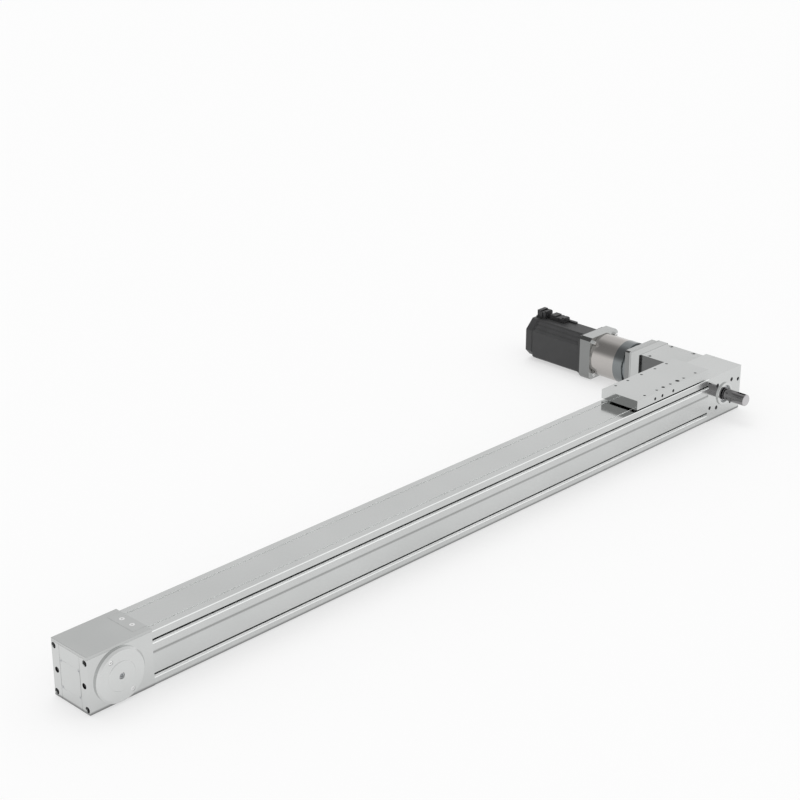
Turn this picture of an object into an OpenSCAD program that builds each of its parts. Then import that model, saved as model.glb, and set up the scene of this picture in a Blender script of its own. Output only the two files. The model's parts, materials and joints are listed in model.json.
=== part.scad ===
// Belt driven linear axis with a side mounted gearbox and servo motor.
// X runs along the axis, the motor stands off towards +Y and Z is up.
// The origin is the centre of the profile's underside.

/* [Profile] */
// Length of the extruded profile between the two end housings
profile_len = 1300; // [600:10:2400]
// Width of the profile
profile_w = 80; // [78:1:90]
// Height of the profile
profile_h = 86; // [86:1:92]
// Thickness of the lips beside the cover
lip_t = 6; // [5:0.5:7]
// Width of the carriage channel
channel_w = 63; // [62:0.5:64]
// Depth of the rail seat below the pulley axes
seat_drop = 11; // [10:0.5:12]
// Thickness of the web under the rail
web_t = 6; // [4:0.5:8]
// Thickness of the profile's floor
floor_t = 9; // [8.5:0.5:11]
// Width of the channel for the returning belt
return_w = 38; // [36:0.5:40]
// Opening of a T-slot
slot_opening = 5.2; // [4.6:0.1:6]
// Inner width of a T-slot
slot_inner = 9.6; // [8:0.2:10]
// Depth of a T-slot
slot_depth = 6; // [5:0.25:6.5]
// Thickness of a T-slot's lips
slot_lip = 2; // [1.5:0.1:2.5]
// Height of the lower T-slots
slot_low_z = 16.2; // [15.6:0.1:18]
// Distance of the upper T-slots from the profile's top
slot_high_inset = 15.3; // [15:0.1:20]
// Distance of the underside's T-slots from the middle
slot_base_y = 25; // [24:0.5:25.5]
// Height of the marking groove on each side above the pulley axes
mark_rise = 9.7; // [-3:0.1:14]
// Diameter of the screw ports in the profile's corners
port_d = 5; // [4:0.5:5]
// Distance of the screw ports from the profile's sides
port_inset = 5; // [4.5:0.25:5.25]
// Height of the lower screw ports
port_low_z = 7; // [6.5:0.25:7.5]
// Distance of the upper screw ports from the profile's top
port_high_inset = 6; // [5.5:0.25:6.5]

/* [Cover] */
// Width of the cover between the carriage's ribs
cover_w = 50; // [48:0.5:51]
// Thickness of the cover
cover_t = 3; // [2:0.25:4]
// Length of the cover's ends in the housings
cover_tail = 24; // [20:1:26]

/* [Guide] */
// Width of the guide rail
rail_w = 15; // [14:0.5:16]
// Height of the guide rail
rail_h = 15; // [13:0.5:15]
// Distance between the rail's holes
rail_pitch = 60; // [50:5:80]
// Distance between a rail end and the housing
rail_end_gap = 5; // [2:1:10]
// Height of a guide block's top above the rail seat
block_top = 24; // [23.5:0.25:25]
// Width of a guide block
block_w = 34; // [32:1:36]
// Length of a guide block without its end caps
block_len = 41; // [36:1:50]
// Length of one end cap
cap_len = 10; // [8:1:12]
// Distance of each guide block's middle from the saddle's end
block_inset = 37; // [33:1:45]

/* [Carriage] */
// Length of the carriage table
table_len = 210; // [200:5:260]
// Thickness of the carriage table
table_t = 17.5; // [15:0.5:22]
// Gap between the table and the profile
table_gap = 3; // [2:0.25:4]
// Gap between the table and the drive housing at rest
rest_gap = 5; // [4:0.5:20]
// Distance of the saddle's ends from the table's ends
saddle_inset = 10; // [6:1:15]
// Thickness of the saddle's base
saddle_t = 6; // [5:0.25:6.25]
// Thickness of the saddle's ribs
rib_t = 2; // [1.5:0.25:3]
// Clearance beside each rib
rib_gap = 0.3; // [0.2:0.05:0.4]
// Depth of the grooves that hold the ribs
rib_seat = 2; // [1:0.25:3]
// Distance of the tapped holes from the table's middle line
hole_y = 32.5; // [31.5:0.5:35]
// Core diameter of the table's M6 holes
tap_d = 5; // [4.2:0.1:5.2]
// Depth of the table's tapped holes
tap_depth = 13; // [8:0.5:14]
// Diameter of the table's dowel holes
dowel_d = 5; // [4:0.5:5.5]
// Distance of the dowel holes from the table's middle
dowel_x = 21; // [15:1:25]

/* [Belt] */
// Pitch of the belt's teeth
belt_pitch = 10; // [9.5:0.25:10.5]
// Width of the belt
belt_w = 30; // [24:1:31]
// Thickness of the belt's back
belt_back = 2; // [1.6:0.1:2.2]
// Height of the belt's teeth
tooth_h = 2.5; // [2:0.1:2.6]
// Width of a tooth at its root
tooth_root = 5.3; // [4.6:0.1:5.4]
// Width of a tooth at its tip
tooth_tip = 3.5; // [2.8:0.1:3.6]
// Number of teeth on each pulley, an even number
pulley_teeth = 16; // [16:2:16]
// Width of the pulleys between their flanges
pulley_w = 31; // [31:0.5:32]

/* [Tension end] */
// Length of the tension housing
tension_len = 112; // [108:1:130]
// Thickness of the tension housing's cheeks
tension_cheek = 17; // [16.5:0.25:18]
// Thickness of the tension housing's top cover
top_cover_t = 4.5; // [3:0.25:6]
// Distance of the idler's axis from the housing's outer end
idler_inset = 52.5; // [50:0.5:56]
// Distance of the round covers' rims from the housing's edges
idler_cover_edge = 1; // [0.5:0.5:5]
// Height of the round covers
idler_cover_h = 6; // [5.5:0.5:10]
// Diameter of the idler's axle
axle_d = 15; // [12:1:15]

/* [Drive end] */
// Length of the drive housing
drive_len = 101; // [96:1:120]
// Thickness of the drive housing's cheeks
drive_cheek = 20; // [19.5:0.25:21]
// Diameter of the drive shaft in its bearings
shaft_d = 25; // [22:1:25]
// Diameter of the protruding journal
journal_d = 22; // [18:1:22]
// Length of the protruding journal
journal_len = 50; // [40:1:70]
// Outer diameter of the drive shaft's bearings
bearing_d = 42; // [40:1:44]
// Width of the drive shaft's bearings
bearing_w = 9; // [7:0.5:9]
// Width of the journal's keyway
key_w = 6; // [5:0.5:6]
// Length of the journal's keyway
key_len = 20; // [16:1:30]

/* [Coupling housing] */
// Width of the coupling housing
coupling_w = 80; // [76:1:84]
// Length of the coupling housing
coupling_len = 86; // [84:1:100]
// Bore of the coupling housing
coupling_bore = 60; // [57:1:64]
// Width of the adapter plate
adapter_w = 90; // [86:1:96]
// Thickness of the adapter plate
adapter_t = 23; // [20:1:30]
// Diameter of the coupling
coupling_d = 54; // [50:1:56]

/* [Gearbox] */
// Side of the gearbox's square flanges
flange_side = 86; // [84:1:86]
// Thickness of the output flange
flange_t = 12; // [10:1:16]
// Diameter of the gearbox's housing
gearbox_d = 84; // [78:1:85]
// Length of the gearbox's housing
gearbox_len = 56; // [50:1:80]
// Length of the dark ring
ring_len = 21; // [16:1:26]
// Length of the neck behind the output flange
neck_len = 9; // [6:1:14]
// Thickness of the input flange
input_t = 25; // [20:1:30]
// Diameter of the gearbox's output shaft
gear_shaft_d = 22; // [18:1:22]

/* [Motor] */
// Side of the motor's flange
motor_flange_side = 78; // [76:1:84]
// Thickness of the motor's flange
motor_flange_t = 8; // [6:1:12]
// Side of the motor's body
motor_side = 76; // [72:1:78]
// Length of the motor's body
motor_len = 117; // [90:1:160]
// Length of the motor's rear cover
rear_len = 18; // [12:1:26]
// Cut at the upper corners of the rear cover
rear_cut = 19; // [16:1:22]

/* [Hidden] */

$fn = 96;
eps = 0.01;

// Colours of the finishes
anodised = [0.78, 0.79, 0.79];
machined = [0.83, 0.84, 0.84];
ground_steel = [0.70, 0.71, 0.73];
gear_steel = [0.62, 0.61, 0.60];
black_steel = [0.12, 0.12, 0.13];
dark_ring = [0.24, 0.26, 0.27];
motor_black = [0.16, 0.16, 0.17];
rubber_black = [0.10, 0.10, 0.10];
plastic_red = [0.62, 0.16, 0.12];

// Running clearance of a shaft, and clearance between pieces that pass each other
fit_gap = 0.05;
air_gap = 0.3;
// Clearance of a part seated in a pocket
seat_gap = 0.1;

// Places along the profile, and heights in its section
end_x = profile_len / 2;
half_w = profile_w / 2;
axis_z = profile_h / 2;
seat_z = axis_z - seat_drop;
opening_w = cover_w + 2 * (rib_t + 2 * rib_gap);
port_y = half_w - port_inset;
port_high_z = profile_h - port_high_inset;
slot_high_z = profile_h - slot_high_inset;
mark_z = axis_z + mark_rise;

// Guide rail and cover
screw_bite = 5;
rail_head_depth = 5.3;
rail_screw_d = 4;
rail_head_d = 7.5;
strip_screw_y = 11.5;
strip_screw_d = 4;
strip_screw_bite = 6;
strip_bore = 6.5;

// Belt drive
pitch_r = pulley_teeth * belt_pitch / (2 * PI);
pitch_to_root = 1;
root_r = pitch_r - pitch_to_root;
belt_outer_r = root_r + belt_back;
pulley_r = root_r - seat_gap;
flange_r = belt_outer_r + 0.8;
flange_plate_t = 2;
drive_x = end_x + drive_len / 2;
nominal_idler_x = -end_x - tension_len + idler_inset;
axis_distance = floor((drive_x - nominal_idler_x) / belt_pitch) * belt_pitch;
idler_x = drive_x - axis_distance;
belt_top_z = axis_z + belt_outer_r;
belt_end_gap = 3;
groove_gap = 0.4;
idler_bearing_d = 32;
idler_bearing_w = 9;
pulley_key_w = 8;
pulley_key_h = 7;
pulley_key_len = 28;
key_sink = 4;
split_gap = 2;

// Carriage
carriage_x = end_x - rest_gap - table_len / 2;
table_z = profile_h + table_gap;
table_top = table_z + table_t;
saddle_len = table_len - 2 * saddle_inset;
block_offset = saddle_len / 2 - block_inset;
base_z = seat_z + block_top;
rib_y = cover_w / 2 + rib_gap;
saddle_w = 2 * (rib_y + rib_t);
clamp_len = 36;
clamp_offset = saddle_len / 2 - clamp_len / 2 - belt_end_gap;
clamp_w = 44;
clamp_screw_y = 18.5;
hole_rows = [-75, -40, 0, 40, 75];
dowel_depth = 10;
grease_holes = [-53, -32, 0];
grease_z = table_z + 6.5;
grease_d = 6;
grease_depth = 4.6;
block_screw_x = 13;
block_screw_y = 13;
block_low = 4.3;
clamp_seat_z = base_z + saddle_t;
clamp_plate_t = 5;
buffer_d = 6;
buffer_y = 26;
buffer_gap = 3;
buffer_len = saddle_inset + rest_gap - buffer_gap;

// Corner screws of both housings
corner_screw_d = 5;
corner_head_depth = 7;
corner_bite = 18;

// Tension housing
tension_x = -end_x - tension_len;
panel_t = 8;
panel_seat_gap = 0.05;
tension_chamber = profile_w - 2 * tension_cheek;
chamber_half = 33;
chamber_low = axis_z - chamber_half;
chamber_high = axis_z + chamber_half;
ledge_len = 9;
ledge_w = 6;
panel_screw_d = 2.5;
panel_screw_inset = 3;
panel_screw_rise = [-23, 19];
panel_screw_z = [for (rise = panel_screw_rise) axis_z + rise];
idler_cover_d = profile_h - 2 * idler_cover_edge;
cover_spigot_d = 54;
cover_spigot_t = 5;
axle_block_w = 25;
axle_block_h = 24;
axle_travel = 3;
axle_block_y = half_w - cover_spigot_t;
axle_block_t = axle_block_y - tension_chamber / 2 - 1;
tension_screw_y = 31;
tension_screw_d = 6;
cover_screw_r = 32.4;
cover_screw_angle = 122;
cover_screw_d = 4;
cover_head_depth = 4.3;
cover_bore = 12;
clamp_plate_w = 57.5;

// Drive housing
drive_chamber = profile_w - 2 * drive_cheek;
bearing_cover_edge = 5;
bearing_cover_d = profile_h - 2 * bearing_cover_edge;
bearing_cover_t = 2;
bearing_y = half_w - bearing_cover_t - bearing_w;
ring_bore_d = 34;
ring_d = 44;
ring_h = 3;
ring_neck_d = 40;
cover_bolt = 22;
cover_bolt_d = 4;
side_bolt_x = 43;
side_bolt_z = 17;
side_bolt_d = 4;
side_bolt_len = 9;
bolt_bore = 12;

// Drive shaft
shaft_shoulder_y = half_w - bearing_cover_t;
journal_end = half_w + journal_len;
journal_bevel = 1;
key_depth = 3.5;
key_end_gap = 2;

// Motor side, as distances from the profile's middle
coupling_y = half_w;
adapter_y = coupling_y + coupling_len;
flange_y = adapter_y + adapter_t;
neck_y = flange_y + flange_t;
ring_y = neck_y + neck_len;
gearbox_y = ring_y + ring_len;
input_y = gearbox_y + gearbox_len;
motor_flange_y = input_y + input_t;
motor_y = motor_flange_y + motor_flange_t;
rear_y = motor_y + motor_len;
flange_chamfer = 6;
adapter_low_z = axis_z - flange_side / 2;
jaw_gap = 12;
jaw_inset = 36;
jaw_y = coupling_y + jaw_inset;
hub_len = 28;
hub_shaft_d = 20;
pilot_t = 3;
pilot_d = coupling_bore;
gear_bolt = 33;
gear_screw_d = 6;
gear_bite = 9;
motor_bolt = 33;
motor_screw_d = 5;
motor_bite = 7;
coupling_screw_x = 34;
coupling_screw_y = [18, 70];
jaw_count = 3;
jaw_turn = 180 / jaw_count;
jaw_angle = 46;
connector_z = axis_z + motor_side / 2;
power_place = [-9.5, -8];
power_size = [25, 24, 15];
encoder_place = [-3, -50];
encoder_size = [22, 38, 10];
connector_base = 3;

// ---------- Helpers ----------

// Extrudes a shape drawn in Y and Z along X, from x0 over the length len
module along_x(x0, len) {
    translate([x0, 0, 0])
        rotate([90, 0, 90])
            linear_extrude(height = len)
                children();
}

// Extrudes a shape drawn in X and Z along Y, from y0 over the length len
module along_y(y0, len) {
    translate([0, y0 + len, 0])
        rotate([90, 0, 0])
            linear_extrude(height = len)
                children();
}

// Cylinder along Y
module rod_y(x, y0, z, len, d) {
    translate([x, y0, z])
        rotate([-90, 0, 0])
            cylinder(h = len, d = d);
}

// Cylinder along X
module rod_x(x0, y, z, len, d) {
    translate([x0, y, z])
        rotate([0, 90, 0])
            cylinder(h = len, d = d);
}

// Turned part about the Y axis, its outline given as radius and distance along +Y
module turned_y(x, y0, z) {
    translate([x, y0, z])
        rotate([-90, 0, 0])
            rotate_extrude()
                children();
}

// Box between two corners
module box(low, high) {
    translate(low)
        cube(high - low);
}

// Square outline with cut corners, centred
module cut_square(side, cut) {
    h = side / 2;
    c = h - cut;
    polygon([[-c, -h], [c, -h], [h, -c], [h, c], [c, h], [-c, h], [-h, c], [-h, -c]]);
}

// Rectangle with round corners, centred
module round_rect(w, h, r) {
    square([w - 2 * r, h], center = true);
    square([w, h - 2 * r], center = true);
    for (sx = [-1, 1], sy = [-1, 1])
        translate([sx * (w / 2 - r), sy * (h / 2 - r)])
            circle(r = r);
}

// Repeats its children on both sides of the middle plane, the copy mirrored
module both_sides() {
    children();
    mirror([0, 1, 0])
        children();
}

// Socket head screw along +Z with its head's top at the origin
module socket_screw(d, len) {
    head_d = 1.7 * d;
    head_h = d;
    difference() {
        union() {
            translate([0, 0, -head_h])
                cylinder(h = head_h, d = head_d, $fn = 48);
            translate([0, 0, -head_h - len])
                cylinder(h = len + eps, d = d, $fn = 48);
        }
        translate([0, 0, -0.6 * head_h])
            cylinder(h = head_h, d = 0.95 * d, $fn = 6);
    }
}

// Countersunk screw along +Z with its head's top at the origin
module countersunk_screw(d, len) {
    head_h = 0.5 * d;
    difference() {
        union() {
            rotate_extrude($fn = 48)
                polygon([[0, 0], [d, 0], [d / 2, -head_h], [0, -head_h]]);
            translate([0, 0, -len])
                cylinder(h = len - head_h + eps, d = d, $fn = 48);
        }
        translate([0, 0, -0.35 * d])
            cylinder(h = d, d = 0.6 * d, $fn = 6);
    }
}

// Room for a countersunk screw, its head's top at the origin
module countersunk_hole(d, len) {
    head_h = 0.5 * d;
    rotate_extrude($fn = 48)
        polygon([[0, 1], [d, 1], [d, 0], [d / 2, -head_h], [0, -head_h]]);
    translate([0, 0, -len])
        cylinder(h = len, d = d, $fn = 48);
}

// Turns children drawn along +Z so that +Z points towards -Y or +Y or -X or +X
module facing_front() { rotate([90, 0, 0]) children(); }
module facing_back() { rotate([-90, 0, 0]) children(); }
module facing_left() { rotate([0, -90, 0]) children(); }
module facing_right() { rotate([0, 90, 0]) children(); }

// ---------- Profile and guide ----------

// T-slot drawn with its bevelled mouth at the origin, going towards +x
module t_slot() {
    flare = 0.8;
    w = slot_opening / 2;
    polygon([
        [-1, -w - flare - 1], [flare, -w], [slot_lip + eps, -w],
        [slot_lip + eps, w], [flare, w], [-1, w + flare + 1]
    ]);
    bevel = 1.2;
    half = slot_inner / 2;
    polygon([
        [slot_lip, -half], [slot_depth - bevel, -half], [slot_depth, -half + bevel],
        [slot_depth, half - bevel], [slot_depth - bevel, half], [slot_lip, half]
    ]);
}

// One half of what is cut from the profile's section
module profile_cuts() {
    for (z = [slot_low_z, slot_high_z])
        translate([half_w, z])
            mirror([1, 0])
                t_slot();
    translate([slot_base_y, 0])
        rotate([0, 0, 90])
            t_slot();
    mark = 0.9;
    polygon([[half_w + 1, mark_z - 2 * mark], [half_w, mark_z - mark],
        [half_w - mark, mark_z], [half_w, mark_z + mark], [half_w + 1, mark_z + 2 * mark]]);
    for (z = [port_low_z, port_high_z])
        translate([port_y, z])
            circle(d = port_d, $fn = 48);
    // Hollow chamber between the return channel and the side wall
    wall = 3;
    chamber_r = 1.5;
    x0 = return_w / 2 + wall;
    x1 = half_w - slot_depth - wall;
    z0 = slot_depth + wall;
    z1 = seat_z - web_t - wall;
    translate([(x0 + x1) / 2, (z0 + z1) / 2])
        round_rect(x1 - x0, z1 - z0, chamber_r);
}

module profile_section() {
    lip_z = profile_h - lip_t;
    difference() {
        translate([0, profile_h / 2])
            round_rect(profile_w, profile_h, 1);
        // Channel of the carriage and its opening
        translate([-channel_w / 2, seat_z])
            square([channel_w, lip_z - seat_z]);
        translate([-opening_w / 2, lip_z - 1])
            square([opening_w, lip_t + 2]);
        // Channel of the returning belt
        translate([0, (floor_t + seat_z - web_t) / 2])
            round_rect(return_w, seat_z - web_t - floor_t, 2);
        profile_cuts();
        mirror([1, 0])
            profile_cuts();
    }
}

module rail_hole_places() {
    count = floor((profile_len - 2 * rail_end_gap - 20) / rail_pitch);
    for (i = [0 : count])
        translate([(i - count / 2) * rail_pitch, 0, 0])
            children();
}

module profile() {
    color(anodised)
        difference() {
            along_x(-end_x, profile_len)
                profile_section();
            // Tapped holes of the rail's screws
            rail_hole_places()
                translate([0, 0, seat_z - screw_bite])
                    cylinder(h = screw_bite + 1, d = rail_screw_d, $fn = 48);
        }
}

// Rail section with a ball groove on each flank
module rail_section() {
    w = rail_w / 2;
    waist = w - 1.6;
    polygon([
        [-w, 0], [w, 0], [w, 0.30 * rail_h], [waist, 0.45 * rail_h], [waist, 0.62 * rail_h],
        [w, 0.76 * rail_h], [w, rail_h - 0.6], [w - 0.6, rail_h],
        [0.6 - w, rail_h], [-w, rail_h - 0.6], [-w, 0.76 * rail_h],
        [-waist, 0.62 * rail_h], [-waist, 0.45 * rail_h], [-w, 0.30 * rail_h]
    ]);
}

module guide_rail() {
    rail_len = profile_len - 2 * rail_end_gap;
    color(ground_steel)
        difference() {
            translate([0, 0, seat_z])
                along_x(-rail_len / 2, rail_len)
                    rail_section();
            rail_hole_places() {
                translate([0, 0, seat_z - 1])
                    cylinder(h = rail_h + 2, d = rail_screw_d + 0.5, $fn = 48);
                translate([0, 0, seat_z + rail_h - rail_head_depth])
                    cylinder(h = rail_head_depth + 1, d = rail_head_d, $fn = 48);
            }
        }
}

module rail_screws() {
    color(black_steel)
        rail_hole_places()
            translate([0, 0, seat_z + rail_h - rail_head_depth + rail_screw_d])
                socket_screw(rail_screw_d, rail_h - rail_head_depth + screw_bite);
}

module cover_strip() {
    color(anodised)
        difference() {
            box([-end_x - cover_tail, -cover_w / 2, profile_h - cover_t],
                [end_x + cover_tail, cover_w / 2, profile_h]);
            for (s = [-1, 1]) {
                translate([end_x + cover_tail / 2, s * strip_screw_y, profile_h])
                    countersunk_hole(strip_screw_d, 2 * cover_t);
                translate([-end_x - cover_tail / 2, s * strip_screw_y, profile_h - 2 * cover_t])
                    cylinder(h = 3 * cover_t, d = strip_screw_d, $fn = 48);
            }
        }
}

// The buffers meet the saddle just before the table would meet a housing
module rubber_buffers() {
    color(rubber_black)
        for (x0 = [-end_x, end_x - buffer_len], y = [-buffer_y, buffer_y])
            rod_x(x0, y, base_z + saddle_t / 2, buffer_len, buffer_d);
}

// ---------- Belt and pulleys ----------

// Outline of one tooth that points towards -y, its root line on y = 0
module tooth(side_gap, tip_gap) {
    a = tooth_root / 2 + side_gap;
    b = tooth_tip / 2 + side_gap;
    lap = 0.4;
    polygon([[-a, lap], [a, lap], [a, 0], [b, -tooth_h - tip_gap], [-b, -tooth_h - tip_gap], [-a, 0]]);
}

// Places of the teeth that lie whole between x0 and x1, counted from the idler's axis
function run_teeth(x0, x1) = [
    for (k = [ceil(x0 / belt_pitch - 0.5) : floor(x1 / belt_pitch - 0.5)])
        let (x = (k + 0.5) * belt_pitch)
            if (x - tooth_root / 2 > x0 && x + tooth_root / 2 < x1) x
];

// Straight run of the belt from x0 to x1, its teeth pointing down from the axes' height plus root_r
module belt_run(x0, x1) {
    a = tooth_root / 2;
    b = tooth_tip / 2;
    teeth = [
        for (x = run_teeth(x0, x1))
            each [[x - a, 0], [x - b, -tooth_h], [x + b, -tooth_h], [x + a, 0]]
    ];
    translate([0, root_r])
        polygon(concat([[x1, 0], [x1, belt_back], [x0, belt_back], [x0, 0]], teeth));
}

// Half turn of the belt round a pulley, on its +x side
module belt_wrap() {
    difference() {
        circle(r = belt_outer_r);
        circle(r = root_r);
        translate([-2 * belt_outer_r, -2 * belt_outer_r])
            square([2 * belt_outer_r, 4 * belt_outer_r]);
    }
    for (k = [0 : pulley_teeth / 2 - 1])
        rotate([0, 0, -(k + 0.5) * 360 / pulley_teeth])
            translate([0, root_r])
                tooth(0, 0);
}

// The belt's ends meet under the carriage, where the clamps hold them
module toothed_belt() {
    split_x = carriage_x - idler_x;
    color(rubber_black)
        translate([idler_x, 0, axis_z]) {
            along_y(-belt_w / 2, belt_w)
                belt_run(0, split_x - split_gap / 2);
            along_y(-belt_w / 2, belt_w)
                belt_run(split_x + split_gap / 2, axis_distance);
            along_y(-belt_w / 2, belt_w)
                mirror([0, 1])
                    belt_run(0, axis_distance);
            along_y(-belt_w / 2, belt_w)
                mirror([1, 0])
                    belt_wrap();
            along_y(-belt_w / 2, belt_w)
                translate([axis_distance, 0])
                    belt_wrap();
        }
}

// Toothed rim of a pulley, its grooves in line with the belt's teeth
module pulley_rim() {
    difference() {
        circle(r = pulley_r);
        for (k = [0 : pulley_teeth - 1])
            rotate([0, 0, (k + 0.5) * 360 / pulley_teeth])
                translate([0, root_r])
                    tooth(groove_gap, seat_gap);
    }
}

module pulley(x, bore) {
    width = pulley_w + 2 * flange_plate_t;
    difference() {
        union() {
            translate([x, 0, axis_z])
                along_y(-pulley_w / 2, pulley_w)
                    pulley_rim();
            for (y = [-width / 2, pulley_w / 2])
                rod_y(x, y, axis_z, flange_plate_t, 2 * flange_r);
        }
        rod_y(x, -width, axis_z, 2 * width, bore);
    }
}

// Space of the key between the shaft and the drive pulley
module key_box(len, top) {
    z0 = axis_z + shaft_d / 2 - key_sink;
    box([drive_x - pulley_key_w / 2, -len / 2, z0], [drive_x + pulley_key_w / 2, len / 2, z0 + top]);
}

module drive_pulley() {
    color(machined)
        difference() {
            pulley(drive_x, shaft_d);
            key_box(4 * pulley_key_len, pulley_key_h);
        }
}

module pulley_key() {
    color(ground_steel)
        key_box(pulley_key_len, pulley_key_h);
}

module idler_pulley() {
    color(machined)
        pulley(idler_x, idler_bearing_d);
}

module idler_bearings() {
    outer_y = pulley_w / 2 + flange_plate_t;
    color(ground_steel)
        both_sides()
            bearing(idler_x, outer_y - idler_bearing_w, idler_bearing_w,
                axle_d + 2 * fit_gap, idler_bearing_d);
}

// Ball bearing with a shallow shield recess on each face
module bearing(x, y0, w, bore, outer) {
    ring = (outer - bore) / 2 * 0.28;
    shield = 0.5;
    r0 = bore / 2;
    r1 = outer / 2;
    turned_y(x, y0, axis_z)
        polygon([
            [r0, 0], [r0 + ring, 0], [r0 + ring, shield], [r1 - ring, shield], [r1 - ring, 0], [r1, 0],
            [r1, w], [r1 - ring, w], [r1 - ring, w - shield], [r0 + ring, w - shield],
            [r0 + ring, w], [r0, w]
        ]);
}

// ---------- Tension end ----------

// Turns a shape drawn with Z outwards, X as height and Y as it is, to face -X at the tension end
module at_tension_end() {
    translate([tension_x, 0, 0])
        rotate([0, -90, 0])
            children();
}

// Room for the belt and its pulley between x0 and x1, narrow beside the panel's ledges at x0
module chamber(x0, x1, w) {
    ledge_end = x0 + sign(x1 - x0) * ledge_len;
    far = x1 + sign(x1 - x0);
    near = w / 2 - ledge_w;
    box([min(ledge_end, far), -w / 2, chamber_low], [max(ledge_end, far), w / 2, chamber_high]);
    box([min(x0, far), -near, chamber_low], [max(x0, far), near, chamber_high]);
}

module tension_housing() {
    slot_x = axle_block_w / 2 + axle_travel;
    color(machined)
        difference() {
            box([tension_x, -half_w, 0], [-end_x, half_w, profile_h]);
            chamber(tension_x + panel_t, -end_x, tension_chamber);
            // Seat of the end panel
            box([tension_x - 1, -tension_chamber / 2, -1],
                [tension_x + panel_t, tension_chamber / 2, profile_h + 1]);
            // Seat of the cover's end
            box([-end_x - cover_tail, -cover_w / 2, profile_h - cover_t],
                [-end_x + 1, cover_w / 2, profile_h + 1]);
            both_sides() {
                // Slot of the axle block, seat of the round cover and bore of the tension screw
                box([idler_x - slot_x, 0, axis_z - axle_block_h / 2],
                    [idler_x + slot_x, axle_block_y, axis_z + axle_block_h / 2]);
                rod_y(idler_x, axle_block_y - eps, axis_z, cover_spigot_t + 1, cover_spigot_d);
                rod_x(tension_x - 1, tension_screw_y, axis_z, idler_x - tension_x, tension_screw_d);
                rod_x(tension_x - 1, tension_screw_y, axis_z, 4, tension_screw_d + 3);
            }
            at_tension_end()
                corner_bores(tension_len);
            idler_cover_screw_places()
                cylinder(h = 2 * cover_bore, d = cover_screw_d, center = true, $fn = 48);
            tension_strip_screw_places()
                translate([0, 0, -top_cover_t - cover_t - strip_bore])
                    cylinder(h = strip_bore + cover_t + eps, d = strip_screw_d, $fn = 48);
            panel_screw_places(tension_x, tension_chamber)
                rod_x(0, 0, 0, panel_t + ledge_len - 1, panel_screw_d);
        }
}

// Bores of the corner screws through a housing of length len, drawn with X as height
module corner_bores(len) {
    for (y = [-port_y, port_y], z = [port_low_z, port_high_z])
        translate([z, y, 0]) {
            translate([0, 0, -len - 1])
                cylinder(h = len + 2, d = corner_screw_d + 0.3, $fn = 48);
            translate([0, 0, -corner_head_depth])
                cylinder(h = corner_head_depth + 1, d = 1.7 * corner_screw_d + 1, $fn = 48);
        }
}

module tension_top_cover() {
    notch = clamp_plate_w / 2 + seat_gap;
    color(machined)
        difference() {
            box([tension_x, -half_w, profile_h], [-end_x, half_w, profile_h + top_cover_t]);
            box([-end_x - cover_tail - seat_gap, -notch, profile_h - 1],
                [-end_x + 1, notch, profile_h + top_cover_t + 1]);
        }
}

module panel_screw_places(x, w) {
    y = w / 2 - panel_screw_inset;
    for (side = [-1, 1], z = panel_screw_z)
        translate([x, side * y, z])
            children();
}

// End panel let in between the cheeks, its outer face at x
module end_panel(x, inward, w) {
    color(machined)
        difference() {
            box([min(x, x + inward * panel_t), -w / 2 + panel_seat_gap, 0],
                [max(x, x + inward * panel_t), w / 2 - panel_seat_gap, profile_h]);
            panel_screw_places(x, w)
                rotate([0, -inward * 90, 0])
                    countersunk_hole(panel_screw_d, 2 * panel_t);
        }
}

module tension_end_panel() {
    end_panel(tension_x, 1, tension_chamber);
}

module tension_panel_screws() {
    color(black_steel)
        panel_screw_places(tension_x, tension_chamber)
            facing_left()
                countersunk_screw(panel_screw_d, panel_t + ledge_len - 2);
}

module strip_clamp() {
    color(machined)
        difference() {
            box([-end_x - cover_tail, -clamp_plate_w / 2, profile_h],
                [-end_x, clamp_plate_w / 2, profile_h + top_cover_t]);
            tension_strip_screw_places()
                countersunk_hole(strip_screw_d, 3 * top_cover_t);
        }
}

module tension_strip_screw_places() {
    for (s = [-1, 1])
        translate([-end_x - cover_tail / 2, s * strip_screw_y, profile_h + top_cover_t])
            children();
}

module strip_screws() {
    color(ground_steel) {
        tension_strip_screw_places()
            countersunk_screw(strip_screw_d, top_cover_t + cover_t + strip_screw_bite);
        for (s = [-1, 1])
            translate([end_x + cover_tail / 2, s * strip_screw_y, profile_h])
                countersunk_screw(strip_screw_d, cover_t + strip_screw_bite);
    }
}

// Screws of the round covers: their places in X and Z at the cheek's face
module idler_cover_screw_places() {
    for (side = [-1, 1], a = [cover_screw_angle, cover_screw_angle + 180])
        translate([idler_x + cover_screw_r * cos(a), side * half_w, axis_z + cover_screw_r * sin(a)])
            rotate([90, 0, 0])
                children();
}

// Round cover with a bevelled rim, a shallow inner step and a tapped middle
module idler_cover() {
    r = idler_cover_d / 2;
    bevel = 3;
    step_r = 23;
    step_t = 1;
    bore_r = 5.5;
    color(machined)
        difference() {
            turned_y(idler_x, half_w, axis_z)
                polygon([
                    [0, -cover_spigot_t], [cover_spigot_d / 2, -cover_spigot_t],
                    [cover_spigot_d / 2, 0], [r, 0], [r, idler_cover_h - bevel],
                    [r - bevel, idler_cover_h], [step_r, idler_cover_h],
                    [step_r, idler_cover_h - step_t], [bore_r, idler_cover_h - step_t],
                    [bore_r, 0], [0, 0]
                ]);
            for (a = [cover_screw_angle, cover_screw_angle + 180])
                translate([idler_x + cover_screw_r * cos(a), half_w, axis_z + cover_screw_r * sin(a)])
                    facing_back() {
                        cylinder(h = idler_cover_h + 1, d = cover_screw_d, $fn = 48);
                        translate([0, 0, idler_cover_h - cover_head_depth])
                            cylinder(h = cover_head_depth + 1, d = 1.7 * cover_screw_d + 0.6, $fn = 48);
                    }
        }
}

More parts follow.
